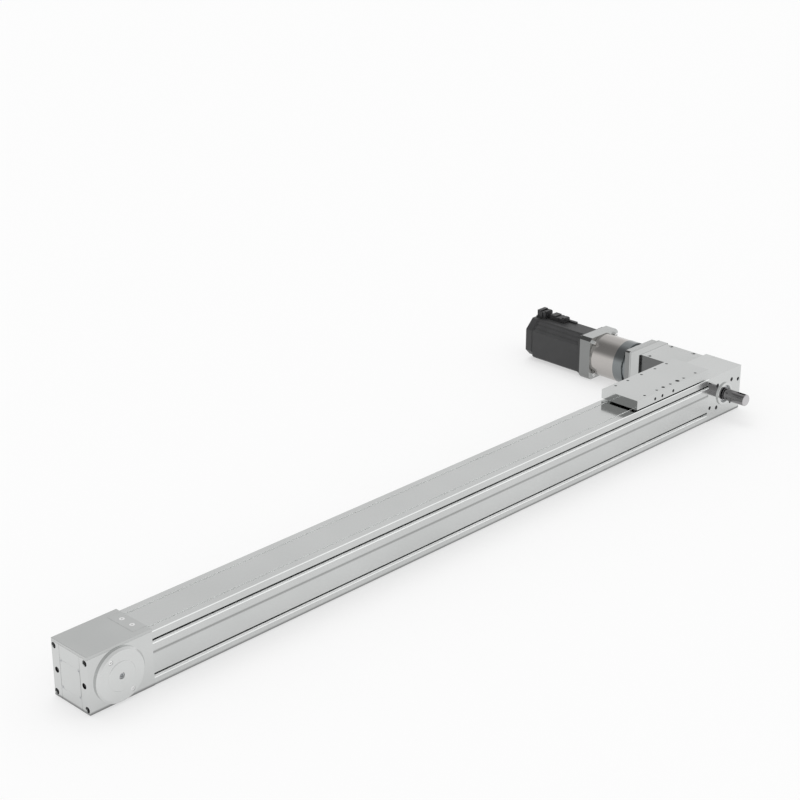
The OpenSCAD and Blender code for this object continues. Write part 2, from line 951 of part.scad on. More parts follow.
module idler_cover_front() {
    mirror([0, 1, 0])
        idler_cover();
}

module idler_cover_back() {
    idler_cover();
}

module idler_cover_screws() {
    color(ground_steel)
        both_sides()
            for (a = [cover_screw_angle, cover_screw_angle + 180])
                translate([idler_x + cover_screw_r * cos(a),
                    half_w + idler_cover_h + cover_screw_d - cover_head_depth,
                    axis_z + cover_screw_r * sin(a)])
                    facing_back()
                        socket_screw(cover_screw_d, 12);
}

// Axle with a collar between each bearing and its axle block
module idler_axle() {
    end_y = axle_block_y - 1;
    collar_y = pulley_w / 2 + flange_plate_t + air_gap;
    block_y = axle_block_y - axle_block_t;
    collar_d = axle_d + 5;
    color(ground_steel) {
        rod_y(idler_x, -end_y, axis_z, 2 * end_y, axle_d);
        both_sides()
            rod_y(idler_x, collar_y, axis_z, block_y - collar_y, collar_d);
    }
}

module axle_blocks() {
    color(gear_steel)
        both_sides()
            difference() {
                box([idler_x - axle_block_w / 2, axle_block_y - axle_block_t, axis_z - axle_block_h / 2],
                    [idler_x + axle_block_w / 2, axle_block_y, axis_z + axle_block_h / 2]);
                rod_y(idler_x, 0, axis_z, axle_block_y - 1, axle_d);
            }
}

module tension_screws() {
    x0 = tension_x + 6;
    x1 = idler_x - axle_block_w / 2;
    color(black_steel)
        both_sides()
            difference() {
                rod_x(x0, tension_screw_y, axis_z, x1 - x0, tension_screw_d);
                translate([x0 - 1, tension_screw_y, axis_z])
                    rotate([0, 90, 0])
                        cylinder(h = 4, d = 3.4, $fn = 6);
            }
}

// Corner screws of a housing of length len, drawn with X as height
module corner_screws(len) {
    for (y = [-port_y, port_y], z = [port_low_z, port_high_z])
        translate([z, y, corner_screw_d - corner_head_depth])
            socket_screw(corner_screw_d, len - corner_head_depth + corner_bite);
}

module tension_corner_screws() {
    color(black_steel)
        at_tension_end()
            corner_screws(tension_len);
}

// ---------- Drive end ----------

// Puts a shape drawn with Z outwards and X as height onto the drive end's face
module at_drive_end() {
    translate([end_x + drive_len, 0, 0])
        mirror([1, 0, 0])
            rotate([0, -90, 0])
                children();
}

module square_places(x, z, pitch_x, pitch_z) {
    for (sx = [-1, 1], sz = [-1, 1])
        translate([x + sx * pitch_x, 0, z + sz * pitch_z])
            children();
}

module drive_housing() {
    x1 = end_x + drive_len;
    shoulder_d = ring_bore_d;
    color(machined)
        difference() {
            box([end_x, -half_w, 0], [x1, half_w, profile_h]);
            chamber(x1 - panel_t, end_x, drive_chamber);
            // Seat of the end panel
            box([x1 - panel_t, -drive_chamber / 2, -1], [x1 + 1, drive_chamber / 2, profile_h + 1]);
            // Seat of the cover's end
            box([end_x - 1, -cover_w / 2, profile_h - cover_t],
                [end_x + cover_tail, cover_w / 2, profile_h + 1]);
            for (s = [-1, 1])
                translate([end_x + cover_tail / 2, s * strip_screw_y, profile_h - cover_t - strip_bore])
                    cylinder(h = strip_bore + 1, d = strip_screw_d, $fn = 48);
            rod_y(drive_x, -half_w - 1, axis_z, profile_w + 2, shoulder_d);
            both_sides() {
                rod_y(drive_x, bearing_y, axis_z, half_w, bearing_d);
                rod_y(drive_x, half_w - bearing_cover_t, axis_z, half_w, bearing_cover_d);
            }
            at_drive_end()
                corner_bores(drive_len);
            panel_screw_places(x1, drive_chamber)
                mirror([1, 0, 0])
                    rod_x(0, 0, 0, panel_t + ledge_len - 1, panel_screw_d);
            translate([0, -half_w, 0])
                square_places(drive_x, axis_z, cover_bolt, cover_bolt)
                    facing_front()
                        cylinder(h = 2 * bolt_bore, d = cover_bolt_d, center = true, $fn = 48);
            side_screw_places()
                sunk_bore(side_bolt_d);
        }
}

// The two screws on the front cheek, on opposite corners round the shaft
module side_screw_places() {
    for (s = [-1, 1])
        translate([drive_x + s * side_bolt_x, -half_w, axis_z + s * side_bolt_z])
            facing_front()
                children();
}

// Bore with room for a socket head just below the surface, its mouth at the origin
module sunk_bore(d) {
    translate([0, 0, -d - 1 - bolt_bore])
        cylinder(h = bolt_bore + d + 2, d = d, $fn = 48);
    translate([0, 0, -d - 1])
        cylinder(h = d + 2, d = 1.85 * d, $fn = 48);
}

module housing_side_screws() {
    color(black_steel)
        side_screw_places()
            translate([0, 0, -1])
                socket_screw(side_bolt_d, side_bolt_len);
}

module drive_end_panel() {
    end_panel(end_x + drive_len, -1, drive_chamber);
}

module drive_panel_screws() {
    color(black_steel)
        panel_screw_places(end_x + drive_len, drive_chamber)
            facing_right()
                countersunk_screw(panel_screw_d, panel_t + ledge_len - 2);
}

module drive_corner_screws() {
    color(black_steel)
        at_drive_end()
            corner_screws(drive_len);
}

module drive_bearings() {
    color(ground_steel)
        both_sides()
            bearing(drive_x, bearing_y, bearing_w, shaft_d + 2 * fit_gap, bearing_d);
}

module bearing_cover() {
    y0 = -half_w;
    color(machined)
        difference() {
            rod_y(drive_x, y0, axis_z, bearing_cover_t, bearing_cover_d);
            rod_y(drive_x, y0 - 1, axis_z, bearing_cover_t + 2, ring_neck_d);
            translate([0, y0, 0])
                square_places(drive_x, axis_z, cover_bolt, cover_bolt)
                    facing_front()
                        countersunk_hole(cover_bolt_d, 2 * bearing_cover_t);
        }
}

module bearing_cover_screws() {
    color(black_steel)
        translate([0, -half_w, 0])
            square_places(drive_x, axis_z, cover_bolt, cover_bolt)
                facing_front()
                    countersunk_screw(cover_bolt_d, 11);
}

// Low head screw along +Z with the underside of its head at the origin
module low_head_screw(d, len) {
    head_h = 0.4 * d;
    difference() {
        union() {
            cylinder(h = head_h, d = 1.7 * d, $fn = 48);
            translate([0, 0, -len])
                cylinder(h = len + eps, d = d, $fn = 48);
        }
        translate([0, 0, 0.4])
            cylinder(h = head_h, d = 0.6 * d, $fn = 6);
    }
}

// Ring that stands out round the journal and holds the bearing
module shaft_ring() {
    rim = 0.6;
    color(machined)
        translate([drive_x, -half_w, axis_z])
            rotate([90, 0, 0])
                rotate_extrude()
                    polygon([
                        [ring_bore_d / 2, -bearing_cover_t], [ring_neck_d / 2, -bearing_cover_t],
                        [ring_neck_d / 2, 0], [ring_d / 2, 0], [ring_d / 2, ring_h - rim],
                        [ring_d / 2 - rim, ring_h], [ring_bore_d / 2, ring_h]
                    ]);
}

module drive_shaft() {
    r = shaft_d / 2;
    jr = journal_d / 2;
    neck_r = (r + jr) / 2;
    neck_end = half_w + ring_h + 1;
    hub_end = jaw_y - 6;
    color(ground_steel)
        difference() {
            turned_y(drive_x, 0, axis_z)
                polygon([
                    [0, -journal_end], [jr - journal_bevel, -journal_end],
                    [jr, -journal_end + journal_bevel], [jr, -neck_end],
                    [neck_r, -neck_end], [neck_r, -shaft_shoulder_y],
                    [r, -shaft_shoulder_y], [r, shaft_shoulder_y],
                    [hub_shaft_d / 2, shaft_shoulder_y], [hub_shaft_d / 2, hub_end], [0, hub_end]
                ]);
            key_box(pulley_key_len, pulley_key_h);
            // Keyway of the journal, with round ends
            translate([drive_x, -journal_end + key_end_gap + key_w / 2, axis_z + jr - key_depth])
                keyway_cut();
        }
}

module keyway_cut() {
    run = key_len - key_w;
    linear_extrude(height = 2 * key_depth) {
        circle(d = key_w, $fn = 48);
        translate([-key_w / 2, 0])
            square([key_w, run]);
        translate([0, run])
            circle(d = key_w, $fn = 48);
    }
}

// ---------- Coupling ----------

module coupling_screw_places() {
    for (sx = [-1, 1], y = coupling_screw_y)
        translate([drive_x + sx * coupling_screw_x, coupling_y + y, profile_h])
            children();
}

module coupling_housing() {
    color(machined)
        difference() {
            union() {
                box([drive_x - coupling_w / 2, coupling_y, 0],
                    [drive_x + coupling_w / 2, adapter_y, profile_h]);
                rod_y(drive_x, coupling_y - bearing_cover_t, axis_z, bearing_cover_t + 1, bearing_cover_d);
            }
            rod_y(drive_x, coupling_y - 6, axis_z, coupling_len, ring_bore_d);
            rod_y(drive_x, coupling_y + 2, axis_z, coupling_len, coupling_bore);
            coupling_screw_places()
                sunk_bore(side_bolt_d);
        }
}

module coupling_housing_screws() {
    color(black_steel)
        coupling_screw_places()
            translate([0, 0, -1])
                socket_screw(side_bolt_d, side_bolt_len);
}

module adapter_plate() {
    color(machined)
        difference() {
            box([drive_x - adapter_w / 2, adapter_y, adapter_low_z],
                [drive_x + adapter_w / 2, flange_y, adapter_low_z + flange_side]);
            rod_y(drive_x, adapter_y - 1, axis_z, adapter_t + 2, pilot_d);
            square_places(drive_x, axis_z, gear_bolt, gear_bolt)
                rod_y(0, flange_y - gear_bite, 0, gear_bite + 1, gear_screw_d);
        }
}

// Wedge of the plane between two angles, for cutting sectors
module wedge(angle, r) {
    polygon([[0, 0], [r * cos(angle / 2), -r * sin(angle / 2)], [r, 0],
        [r * cos(angle / 2), r * sin(angle / 2)]]);
}

// Jaws of a hub, turned by turn degrees
module jaws(turn) {
    intersection() {
        difference() {
            circle(d = coupling_d);
            circle(d = coupling_d * 0.45);
        }
        for (k = [0 : jaw_count - 1])
            rotate([0, 0, turn + 2 * jaw_turn * k])
                wedge(jaw_angle, coupling_d);
    }
}

module coupling_hub_drive() {
    color(machined)
        translate([drive_x, 0, axis_z])
            difference() {
                union() {
                    rod_y(0, jaw_y - hub_len, 0, hub_len, coupling_d);
                    along_y(jaw_y - eps, jaw_gap - 1)
                        jaws(0);
                }
                rod_y(0, 0, 0, jaw_y - 6, hub_shaft_d);
            }
}

module coupling_hub_motor() {
    y0 = jaw_y + jaw_gap;
    color(machined)
        translate([drive_x, 0, axis_z])
            difference() {
                union() {
                    rod_y(0, y0, 0, hub_len, coupling_d);
                    along_y(y0 - jaw_gap + 1, jaw_gap - 1 + eps)
                        jaws(jaw_turn);
                }
                rod_y(0, y0 + 6, 0, hub_len, gear_shaft_d);
            }
}

// Elastic spider: a ring with six arms between the jaws
module coupling_spider() {
    arm_gap = 0.1;
    color(plastic_red)
        translate([drive_x, 0, axis_z])
            along_y(jaw_y + 0.5, jaw_gap - 1)
                difference() {
                    union() {
                        circle(d = coupling_d * 0.45 - arm_gap);
                        intersection() {
                            circle(d = coupling_d - 2);
                            for (k = [0 : 2 * jaw_count - 1])
                                rotate([0, 0, (k + 0.5) * jaw_turn])
                                    wedge(jaw_turn - jaw_angle - 2, coupling_d);
                        }
                    }
                    circle(d = coupling_d * 0.2);
                }
}

module gearbox_shaft() {
    y0 = jaw_y + jaw_gap + 6;
    y1 = neck_y - air_gap;
    color(ground_steel)
        rod_y(drive_x, y0, axis_z, y1 - y0, gear_shaft_d);
}

// ---------- Gearbox ----------

module gearbox_flange() {
    color(machined)
        difference() {
            union() {
                translate([drive_x, 0, axis_z])
                    along_y(flange_y, flange_t)
                        cut_square(flange_side, flange_chamfer / 2);
                rod_y(drive_x, flange_y - pilot_t, axis_z, pilot_t + 1, pilot_d);
            }
            rod_y(drive_x, flange_y - pilot_t - 1, axis_z, flange_t + pilot_t + 2,
                gear_shaft_d + 2 * fit_gap);
            square_places(drive_x, axis_z, gear_bolt, gear_bolt)
                rod_y(0, flange_y - 1, 0, flange_t + 2, gear_screw_d);
        }
}

module gearbox_ring() {
    neck_d = gearbox_d - 5;
    ring_d = gearbox_d + 1;
    bevel = 1;
    color(dark_ring)
        turned_y(drive_x, neck_y, axis_z)
            polygon([
                [0, 0], [neck_d / 2, 0], [neck_d / 2, neck_len], [ring_d / 2 - bevel, neck_len],
                [ring_d / 2, neck_len + bevel], [ring_d / 2, neck_len + ring_len], [0, neck_len + ring_len]
            ]);
}

module gearbox_body() {
    bevel = 1.5;
    r = gearbox_d / 2;
    color(gear_steel)
        turned_y(drive_x, gearbox_y, axis_z)
            polygon([
                [0, 0], [r, 0], [r, gearbox_len - 4], [r - bevel, gearbox_len - 4 + bevel],
                [r - bevel, gearbox_len], [0, gearbox_len]
            ]);
}

module gearbox_input_flange() {
    color(machined)
        difference() {
            translate([drive_x, 0, axis_z])
                along_y(input_y, input_t)
                    cut_square(flange_side, flange_chamfer);
            // Access hole of the motor shaft's clamp
            translate([drive_x + flange_side / 2, input_y + input_t / 2, axis_z])
                facing_right()
                    cylinder(h = 16, d = 9, center = true, $fn = 48);
            square_places(drive_x, axis_z, motor_bolt, motor_bolt)
                rod_y(0, input_y - 1, 0, input_t + 2, motor_screw_d);
        }
}

// Screws through the output flange into the adapter plate
module gearbox_screws() {
    color(black_steel)
        square_places(drive_x, axis_z, gear_bolt, gear_bolt)
            translate([0, neck_y, 0])
                facing_back()
                    cap_screw(gear_screw_d, flange_t + gear_bite);
}

// Cap screw along +Z with the underside of its head at the origin
module cap_screw(d, len) {
    difference() {
        union() {
            cylinder(h = d, d = 1.5 * d, $fn = 48);
            translate([0, 0, -len])
                cylinder(h = len + eps, d = d, $fn = 48);
        }
        translate([0, 0, 0.5 * d])
            cylinder(h = d, d = 0.95 * d, $fn = 6);
    }
}

// ---------- Motor ----------

module motor_flange() {
    color(motor_black)
        difference() {
            translate([drive_x, 0, axis_z])
                along_y(motor_flange_y, motor_flange_t)
                    cut_square(motor_flange_side, 4);
            square_places(drive_x, axis_z, motor_bolt, motor_bolt)
                rod_y(0, motor_flange_y - 1, 0, motor_bite + 1, motor_screw_d);
        }
}

// Section of the motor body: flat sides, and stepped upper corners up to a narrower top
module motor_section() {
    h = motor_side / 2;
    low_cut = 4;
    flat_top = h - rear_cut;
    steps = 3;
    step = rear_cut / steps;
    slope = 0.6 * step;
    half = [
        [h - low_cut, -h], [h, -h + low_cut],
        for (k = [0 : steps - 1])
            each [
                [h - k * step, flat_top + k * step],
                [h - (k + 1) * step, flat_top + k * step + slope]
            ],
        [h - rear_cut, h]
    ];
    polygon(concat(half, [for (i = [len(half) - 1 : -1 : 0]) [-half[i][0], half[i][1]]]));
}

module motor_body() {
    color(motor_black)
        translate([drive_x, 0, axis_z])
            along_y(motor_y, motor_len)
                motor_section();
}

// Rear cover with cut corners, the upper ones larger, behind a low step
module motor_rear_cover() {
    h = motor_side / 2;
    step = 3;
    low_cut = 13;
    color(motor_black)
        translate([drive_x, 0, axis_z])
            for (part = [[0, step, 1], [step - eps, rear_len - step + eps, 0]])
                along_y(rear_y + part[0], part[1])
                    polygon([
                        [low_cut - h, part[2] - h], [h - low_cut, part[2] - h],
                        [h - part[2], low_cut - h], [h - part[2], h - rear_cut],
                        [h - rear_cut, h - part[2]], [rear_cut - h, h - part[2]],
                        [part[2] - h, h - rear_cut], [part[2] - h, low_cut - h]
                    ]);
}

module motor_screws() {
    color(black_steel)
        square_places(drive_x, axis_z, motor_bolt, motor_bolt)
            translate([0, input_y, 0])
                facing_front()
                    cap_screw(motor_screw_d, input_t + motor_bite);
}

// Rectangular socket with a flange, a raised hood, two latches and a low cable strip,
// placed by its corner from the axis and the motor's rear end, open towards the rear
module connector(place, size) {
    rim = 1.5;
    hood = 0.4 * size[1];
    latch = 6;
    wall = 4;
    lift = 2;
    translate([drive_x + place[0], rear_y + place[1], connector_z])
        difference() {
            union() {
                cube([size[0], size[1], connector_base]);
                translate([rim, rim, connector_base - eps])
                    cube([size[0] - 2 * rim, size[1] - 2 * rim, size[2] - connector_base - lift]);
                translate([rim, size[1] - hood, connector_base])
                    cube([size[0] - 2 * rim, hood - rim, size[2] - connector_base]);
                translate([wall, rim, connector_base])
                    cube([size[0] - 2 * wall, hood / 2, size[2] - connector_base]);
                for (x = [0, size[0] - lift])
                    translate([x, (size[1] - latch) / 2, connector_base - eps])
                        cube([lift, latch, size[2] - connector_base - lift]);
            }
            translate([wall, size[1] - 2 * latch, connector_base + lift])
                cube([size[0] - 2 * wall, 2 * latch + 1, size[2] - connector_base - 2 * lift]);
        }
}

module power_connector() {
    color(motor_black)
        connector(power_place, power_size);
}

module encoder_connector() {
    strip_w = 7;
    strip_len = 18;
    color(motor_black) {
        connector(encoder_place, encoder_size);
        translate([drive_x + encoder_place[0] + encoder_size[0] - strip_w,
            rear_y + encoder_place[1] - strip_len + eps, connector_z])
            cube([strip_w, strip_len, connector_base]);
    }
}

// ---------- Carriage ----------

module table_hole_places(xs, ys) {
    for (x = xs, y = ys)
        translate([carriage_x + x, y, table_top])
            children();
}

module carriage_table() {
    seat_y = rib_y;
    color(machined)
        difference() {
            box([carriage_x - table_len / 2, -half_w, table_z],
                [carriage_x + table_len / 2, half_w, table_top]);
            both_sides()
                box([carriage_x - saddle_len / 2, seat_y, table_z - 1],
                    [carriage_x + saddle_len / 2, seat_y + rib_t, table_z + rib_seat]);
            table_hole_places(hole_rows, [-hole_y, hole_y])
                translate([0, 0, -tap_depth])
                    cylinder(h = tap_depth + 1, d = tap_d, $fn = 48);
            table_hole_places([-dowel_x, dowel_x], [-hole_y])
                translate([0, 0, -dowel_depth])
                    cylinder(h = dowel_depth + 1, d = dowel_d, $fn = 48);
            for (x = grease_holes)
                rod_y(carriage_x + x, -half_w - 1, grease_z, grease_depth + 1, grease_d);
        }
}

module grease_ports() {
    color(ground_steel)
        for (x = grease_holes)
            translate([carriage_x + x, -half_w + grease_depth, grease_z])
                facing_front()
                    rotate_extrude($fn = 48)
                        polygon([[0, 0], [grease_d / 2, 0], [grease_d / 2, grease_depth - 1],
                            [2.2, grease_depth - 0.4], [1.4, grease_depth - 0.4],
                            [1, grease_depth - 1.6], [0, grease_depth - 1.6]]);
}

module block_screw_places() {
    for (b = [-1, 1], sx = [-1, 1], sy = [-1, 1])
        translate([carriage_x + b * block_offset + sx * block_screw_x, sy * block_screw_y,
            base_z + saddle_t])
            children();
}

module clamp_screw_places() {
    for (b = [-1, 1], sx = [-1, 1], sy = [-1, 1])
        translate([carriage_x + b * clamp_offset + sx * (clamp_len / 2 - 5), sy * clamp_screw_y, 0])
            children();
}

module carriage_saddle() {
    x0 = carriage_x - saddle_len / 2;
    x1 = carriage_x + saddle_len / 2;
    color(machined)
        difference() {
            union() {
                box([x0, -saddle_w / 2, base_z], [x1, saddle_w / 2, base_z + saddle_t]);
                both_sides()
                    box([x0, rib_y, base_z], [x1, rib_y + rib_t, table_z + rib_seat]);
            }
            block_screw_places()
                countersunk_hole(4, 2 * saddle_t);
            clamp_screw_places()
                translate([0, 0, base_z + 0.5])
                    cylinder(h = saddle_t, d = 4, $fn = 48);
        }
}

// Section of a guide block round the rail, with the rail seat on y = 0
module block_section(w, top, gap) {
    difference() {
        translate([-w / 2, block_low])
            square([w, top - block_low]);
        translate([-rail_w / 2 - gap, 0])
            square([rail_w + 2 * gap, rail_h + gap]);
    }
}

module guide_blocks() {
    color(ground_steel)
        difference() {
            for (b = [-1, 1])
                translate([0, 0, seat_z])
                    along_x(carriage_x + b * block_offset - block_len / 2, block_len)
                        block_section(block_w, block_top, air_gap);
            block_screw_places()
                translate([0, 0, -saddle_t - 7])
                    cylinder(h = 8, d = 4, $fn = 48);
        }
}

module block_end_caps() {
    color(motor_black)
        for (b = [-1, 1], e = [-1, 1])
            translate([0, 0, seat_z])
                along_x(carriage_x + b * block_offset + e * (block_len + cap_len) / 2 - cap_len / 2,
                    cap_len)
                    block_section(block_w - 1.5, block_top - 2, air_gap);
}

module guide_block_screws() {
    color(black_steel)
        block_screw_places()
            countersunk_screw(4, saddle_t + 6);
}

// Toothed plates that the belt's ends lie in
module belt_clamps() {
    top = axis_z + root_r - seat_gap;
    split_x = carriage_x - idler_x;
    color(ground_steel)
        difference() {
            for (b = [-1, 1])
                box([carriage_x + b * clamp_offset - clamp_len / 2, -clamp_w / 2, clamp_seat_z],
                    [carriage_x + b * clamp_offset + clamp_len / 2, clamp_w / 2, top]);
            along_y(-belt_w / 2 - 1, belt_w + 2)
                for (x = run_teeth(split_x - table_len / 2, split_x + table_len / 2))
                    translate([idler_x + x, axis_z + root_r])
                        tooth(seat_gap, seat_gap);
            clamp_screw_places()
                translate([0, 0, clamp_seat_z - 1])
                    cylinder(h = 8, d = 4, $fn = 48);
        }
}

module clamp_plates() {
    z0 = belt_top_z + seat_gap;
    color(ground_steel)
        difference() {
            for (b = [-1, 1])
                box([carriage_x + b * clamp_offset - clamp_len / 2, -clamp_w / 2, z0],
                    [carriage_x + b * clamp_offset + clamp_len / 2, clamp_w / 2, z0 + clamp_plate_t]);
            clamp_screw_places()
                translate([0, 0, z0 - 1])
                    cylinder(h = clamp_plate_t + 2, d = 4, $fn = 48);
        }
}

module clamp_screws() {
    z0 = belt_top_z + seat_gap + clamp_plate_t;
    color(black_steel)
        clamp_screw_places()
            translate([0, 0, z0])
                low_head_screw(4, z0 - base_z - 0.5);
}

profile();
guide_rail();
rail_screws();
cover_strip();
toothed_belt();
rubber_buffers();
tension_housing();
tension_top_cover();
tension_end_panel();
strip_clamp();
strip_screws();
idler_cover_front();
idler_cover_back();
idler_cover_screws();
idler_axle();
axle_blocks();
tension_screws();
tension_corner_screws();
tension_panel_screws();
drive_housing();
drive_end_panel();
drive_corner_screws();
drive_panel_screws();
drive_bearings();
bearing_cover();
bearing_cover_screws();
shaft_ring();
housing_side_screws();
coupling_housing();
adapter_plate();
coupling_housing_screws();
gearbox_flange();
gearbox_ring();
gearbox_body();
gearbox_input_flange();
gearbox_screws();
motor_flange();
motor_body();
motor_rear_cover();
motor_screws();
power_connector();
encoder_connector();
carriage_table();
carriage_saddle();
guide_blocks();
block_end_caps();
guide_block_screws();
belt_clamps();
clamp_plates();
clamp_screws();
grease_ports();
drive_shaft();
drive_pulley();
pulley_key();
coupling_hub_drive();
coupling_spider();
coupling_hub_motor();
gearbox_shaft();
idler_pulley();
idler_bearings();
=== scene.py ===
"""Belt driven linear axis: finishes, edges, floor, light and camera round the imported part."""
import json
import math

import bmesh
import bpy
from mathutils import Matrix, Vector


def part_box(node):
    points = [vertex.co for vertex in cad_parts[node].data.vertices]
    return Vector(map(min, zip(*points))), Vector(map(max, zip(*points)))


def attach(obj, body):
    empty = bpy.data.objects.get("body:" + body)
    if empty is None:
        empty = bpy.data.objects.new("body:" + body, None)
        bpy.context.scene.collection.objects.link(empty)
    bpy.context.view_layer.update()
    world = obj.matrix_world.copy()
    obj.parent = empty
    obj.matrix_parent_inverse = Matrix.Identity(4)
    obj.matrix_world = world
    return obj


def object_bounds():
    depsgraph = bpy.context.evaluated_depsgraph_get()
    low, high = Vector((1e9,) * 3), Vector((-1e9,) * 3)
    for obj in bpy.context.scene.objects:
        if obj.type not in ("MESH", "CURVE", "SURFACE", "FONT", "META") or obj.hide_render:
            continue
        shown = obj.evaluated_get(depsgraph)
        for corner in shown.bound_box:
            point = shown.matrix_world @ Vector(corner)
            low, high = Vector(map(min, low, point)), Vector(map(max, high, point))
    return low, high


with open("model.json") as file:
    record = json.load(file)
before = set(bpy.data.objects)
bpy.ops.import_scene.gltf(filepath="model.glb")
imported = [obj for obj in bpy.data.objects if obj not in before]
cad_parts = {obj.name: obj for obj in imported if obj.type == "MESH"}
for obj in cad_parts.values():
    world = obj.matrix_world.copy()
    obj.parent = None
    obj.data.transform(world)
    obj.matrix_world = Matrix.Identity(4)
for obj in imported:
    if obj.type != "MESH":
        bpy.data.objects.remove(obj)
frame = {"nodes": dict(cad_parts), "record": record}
cad_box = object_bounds()
nodes = frame["nodes"]

# ---------- Finishes ----------

MM = 0.001
NOISE_ROUGHNESS = 0.55
LINE_DETAIL = 6.0
GRAIN_DETAIL = 3.0
CLOUD_DETAIL = 2.0
METAL_CLOUDS = 9.0
PLASTIC_CLOUDS = 30.0
METAL_BUMP = 0.25
PLASTIC_BUMP = 0.3


def new_material(name):
    """A new material, its node tree and its shader."""
    mat = bpy.data.materials.new(name)
    mat.use_nodes = True
    tree = mat.node_tree
    shader = tree.nodes["Principled BSDF"]
    return mat, tree, shader


def add(tree, kind, **values):
    """A node of that kind; inputs are given by name, properties too."""
    node = tree.nodes.new(kind)
    for key, value in values.items():
        if key in node.inputs:
            node.inputs[key].default_value = value
        else:
            setattr(node, key, value)
    return node


def noise(tree, scale, detail, stretch=(1, 1, 1)):
    """Noise in the part's own coordinates, stretched by axis."""
    place = add(tree, "ShaderNodeTexCoord")
    mapping = add(tree, "ShaderNodeMapping", Scale=stretch)
    grain = add(tree, "ShaderNodeTexNoise", Scale=scale, Detail=detail, Roughness=NOISE_ROUGHNESS)
    tree.links.new(place.outputs["Object"], mapping.inputs["Vector"])
    tree.links.new(mapping.outputs["Vector"], grain.inputs["Vector"])
    return grain.outputs["Fac"]


def spread(tree, value, low, high, start=0.3, end=0.7):
    """Low where the value is at or below start, high at or above end, and even steps between."""
    ranged = add(tree, "ShaderNodeMapRange")
    ranged.inputs["From Min"].default_value = start
    ranged.inputs["From Max"].default_value = end
    ranged.inputs["To Min"].default_value = low
    ranged.inputs["To Max"].default_value = high
    tree.links.new(value, ranged.inputs["Value"])
    return ranged.outputs["Result"]


def blend_colours(tree, value, first, second):
    """Mixes two colours by a 0 to 1 value."""
    mix = add(tree, "ShaderNodeMix", data_type="RGBA")
    mix.inputs["A"].default_value = (*first, 1)
    mix.inputs["B"].default_value = (*second, 1)
    tree.links.new(value, mix.inputs["Factor"])
    return mix.outputs["Result"]


def bump(tree, shader, value, strength, depth):
    """Bump from a value, its depth in metres."""
    node = add(tree, "ShaderNodeBump", Strength=strength, Distance=depth)
    tree.links.new(value, node.inputs["Height"])
    tree.links.new(node.outputs["Normal"], shader.inputs["Normal"])


def calc(tree, operation, first, second=0.0):
    """One arithmetic step; each term is a socket or a number."""
    node = add(tree, "ShaderNodeMath", operation=operation)
    for socket, term in zip(node.inputs, (first, second)):
        if isinstance(term, (int, float)):
            socket.default_value = term
        else:
            tree.links.new(term, socket)
    return node.outputs["Value"]


def joined(operation):
    """A function that takes two or more terms and joins them, from the left, by one operation."""
    def join(tree, *terms):
        total = terms[0]
        for term in terms[1:]:
            total = calc(tree, operation, total, term)
        return total
    return join


times = joined("MULTIPLY")
plus = joined("ADD")
minus = joined("SUBTRACT")
largest = joined("MAXIMUM")
# 1 where the first term is above, or below, the second, else 0
above = joined("GREATER_THAN")
below = joined("LESS_THAN")


def magnitude(tree, value):
    """The value without its sign."""
    return calc(tree, "ABSOLUTE", value)


def between(tree, value, low, high):
    """1 where the value lies between low and high, else 0."""
    return times(tree, above(tree, value, low), below(tree, value, high))


def coordinates(tree, kind="Object"):
    """The x, y and z of a point, or of the surface's normal, in the part's own frame."""
    place = add(tree, "ShaderNodeTexCoord")
    split = add(tree, "ShaderNodeSeparateXYZ")
    tree.links.new(place.outputs[kind], split.inputs["Vector"])
    return split.outputs["X"], split.outputs["Y"], split.outputs["Z"]


def metal(name, dark, light, rough, scale, stretch, depth, metallic=1.0, tint=None, matte=None):
    """Metal with fine machining or drawing lines along one axis.

    Dark and light are its two tones, rough its lowest and highest roughness, depth that of its lines.
    Tint multiplies the tone by place, with painted shade and painted light, and matte gives the places
    made dull, not metallic.
    """
    mat, tree, shader = new_material(name)
    lines = noise(tree, scale, LINE_DETAIL, stretch)
    clouds = noise(tree, METAL_CLOUDS, CLOUD_DETAIL)
    tone = blend_colours(tree, spread(tree, clouds, 0, 1), dark, light)
    if tint:
        shade = add(tree, "ShaderNodeMix", data_type="RGBA", blend_type="MULTIPLY")
        shade.inputs["Factor"].default_value = 1.0
        tree.links.new(tone, shade.inputs["A"])
        tree.links.new(tint(tree), shade.inputs["B"])
        tone = shade.outputs["Result"]
    tree.links.new(tone, shader.inputs["Base Color"])
    tree.links.new(spread(tree, lines, *rough), shader.inputs["Roughness"])
    shader.inputs["Metallic"].default_value = metallic
    if matte:
        tree.links.new(minus(tree, metallic, matte(tree)), shader.inputs["Metallic"])
    bump(tree, shader, lines, METAL_BUMP, depth)
    return mat


def plastic(name, dark, light, rough, scale, depth):
    """Moulded plastic or rubber with a fine even grain."""
    mat, tree, shader = new_material(name)
    grain = noise(tree, scale, GRAIN_DETAIL)
    clouds = noise(tree, PLASTIC_CLOUDS, CLOUD_DETAIL)
    tone = blend_colours(tree, spread(tree, clouds, 0, 1), dark, light)
    tree.links.new(tone, shader.inputs["Base Color"])
    tree.links.new(spread(tree, grain, *rough), shader.inputs["Roughness"])
    bump(tree, shader, grain, PLASTIC_BUMP, depth)
    return mat


# How the grain is stretched: even, drawn, milled and turned surfaces
EVEN = (1, 1, 1)
DRAWN_X = (0.02, 1, 1)
DRAWN_Y = (1, 0.02, 1)
MILLED_X = (0.15, 1, 1)
MILLED_Y = (1, 0.15, 1)
MILLED_Z = (1, 1, 0.15)
FACED_Y = (1, 0.6, 1)
TURNED_Y = (1, 8, 1)
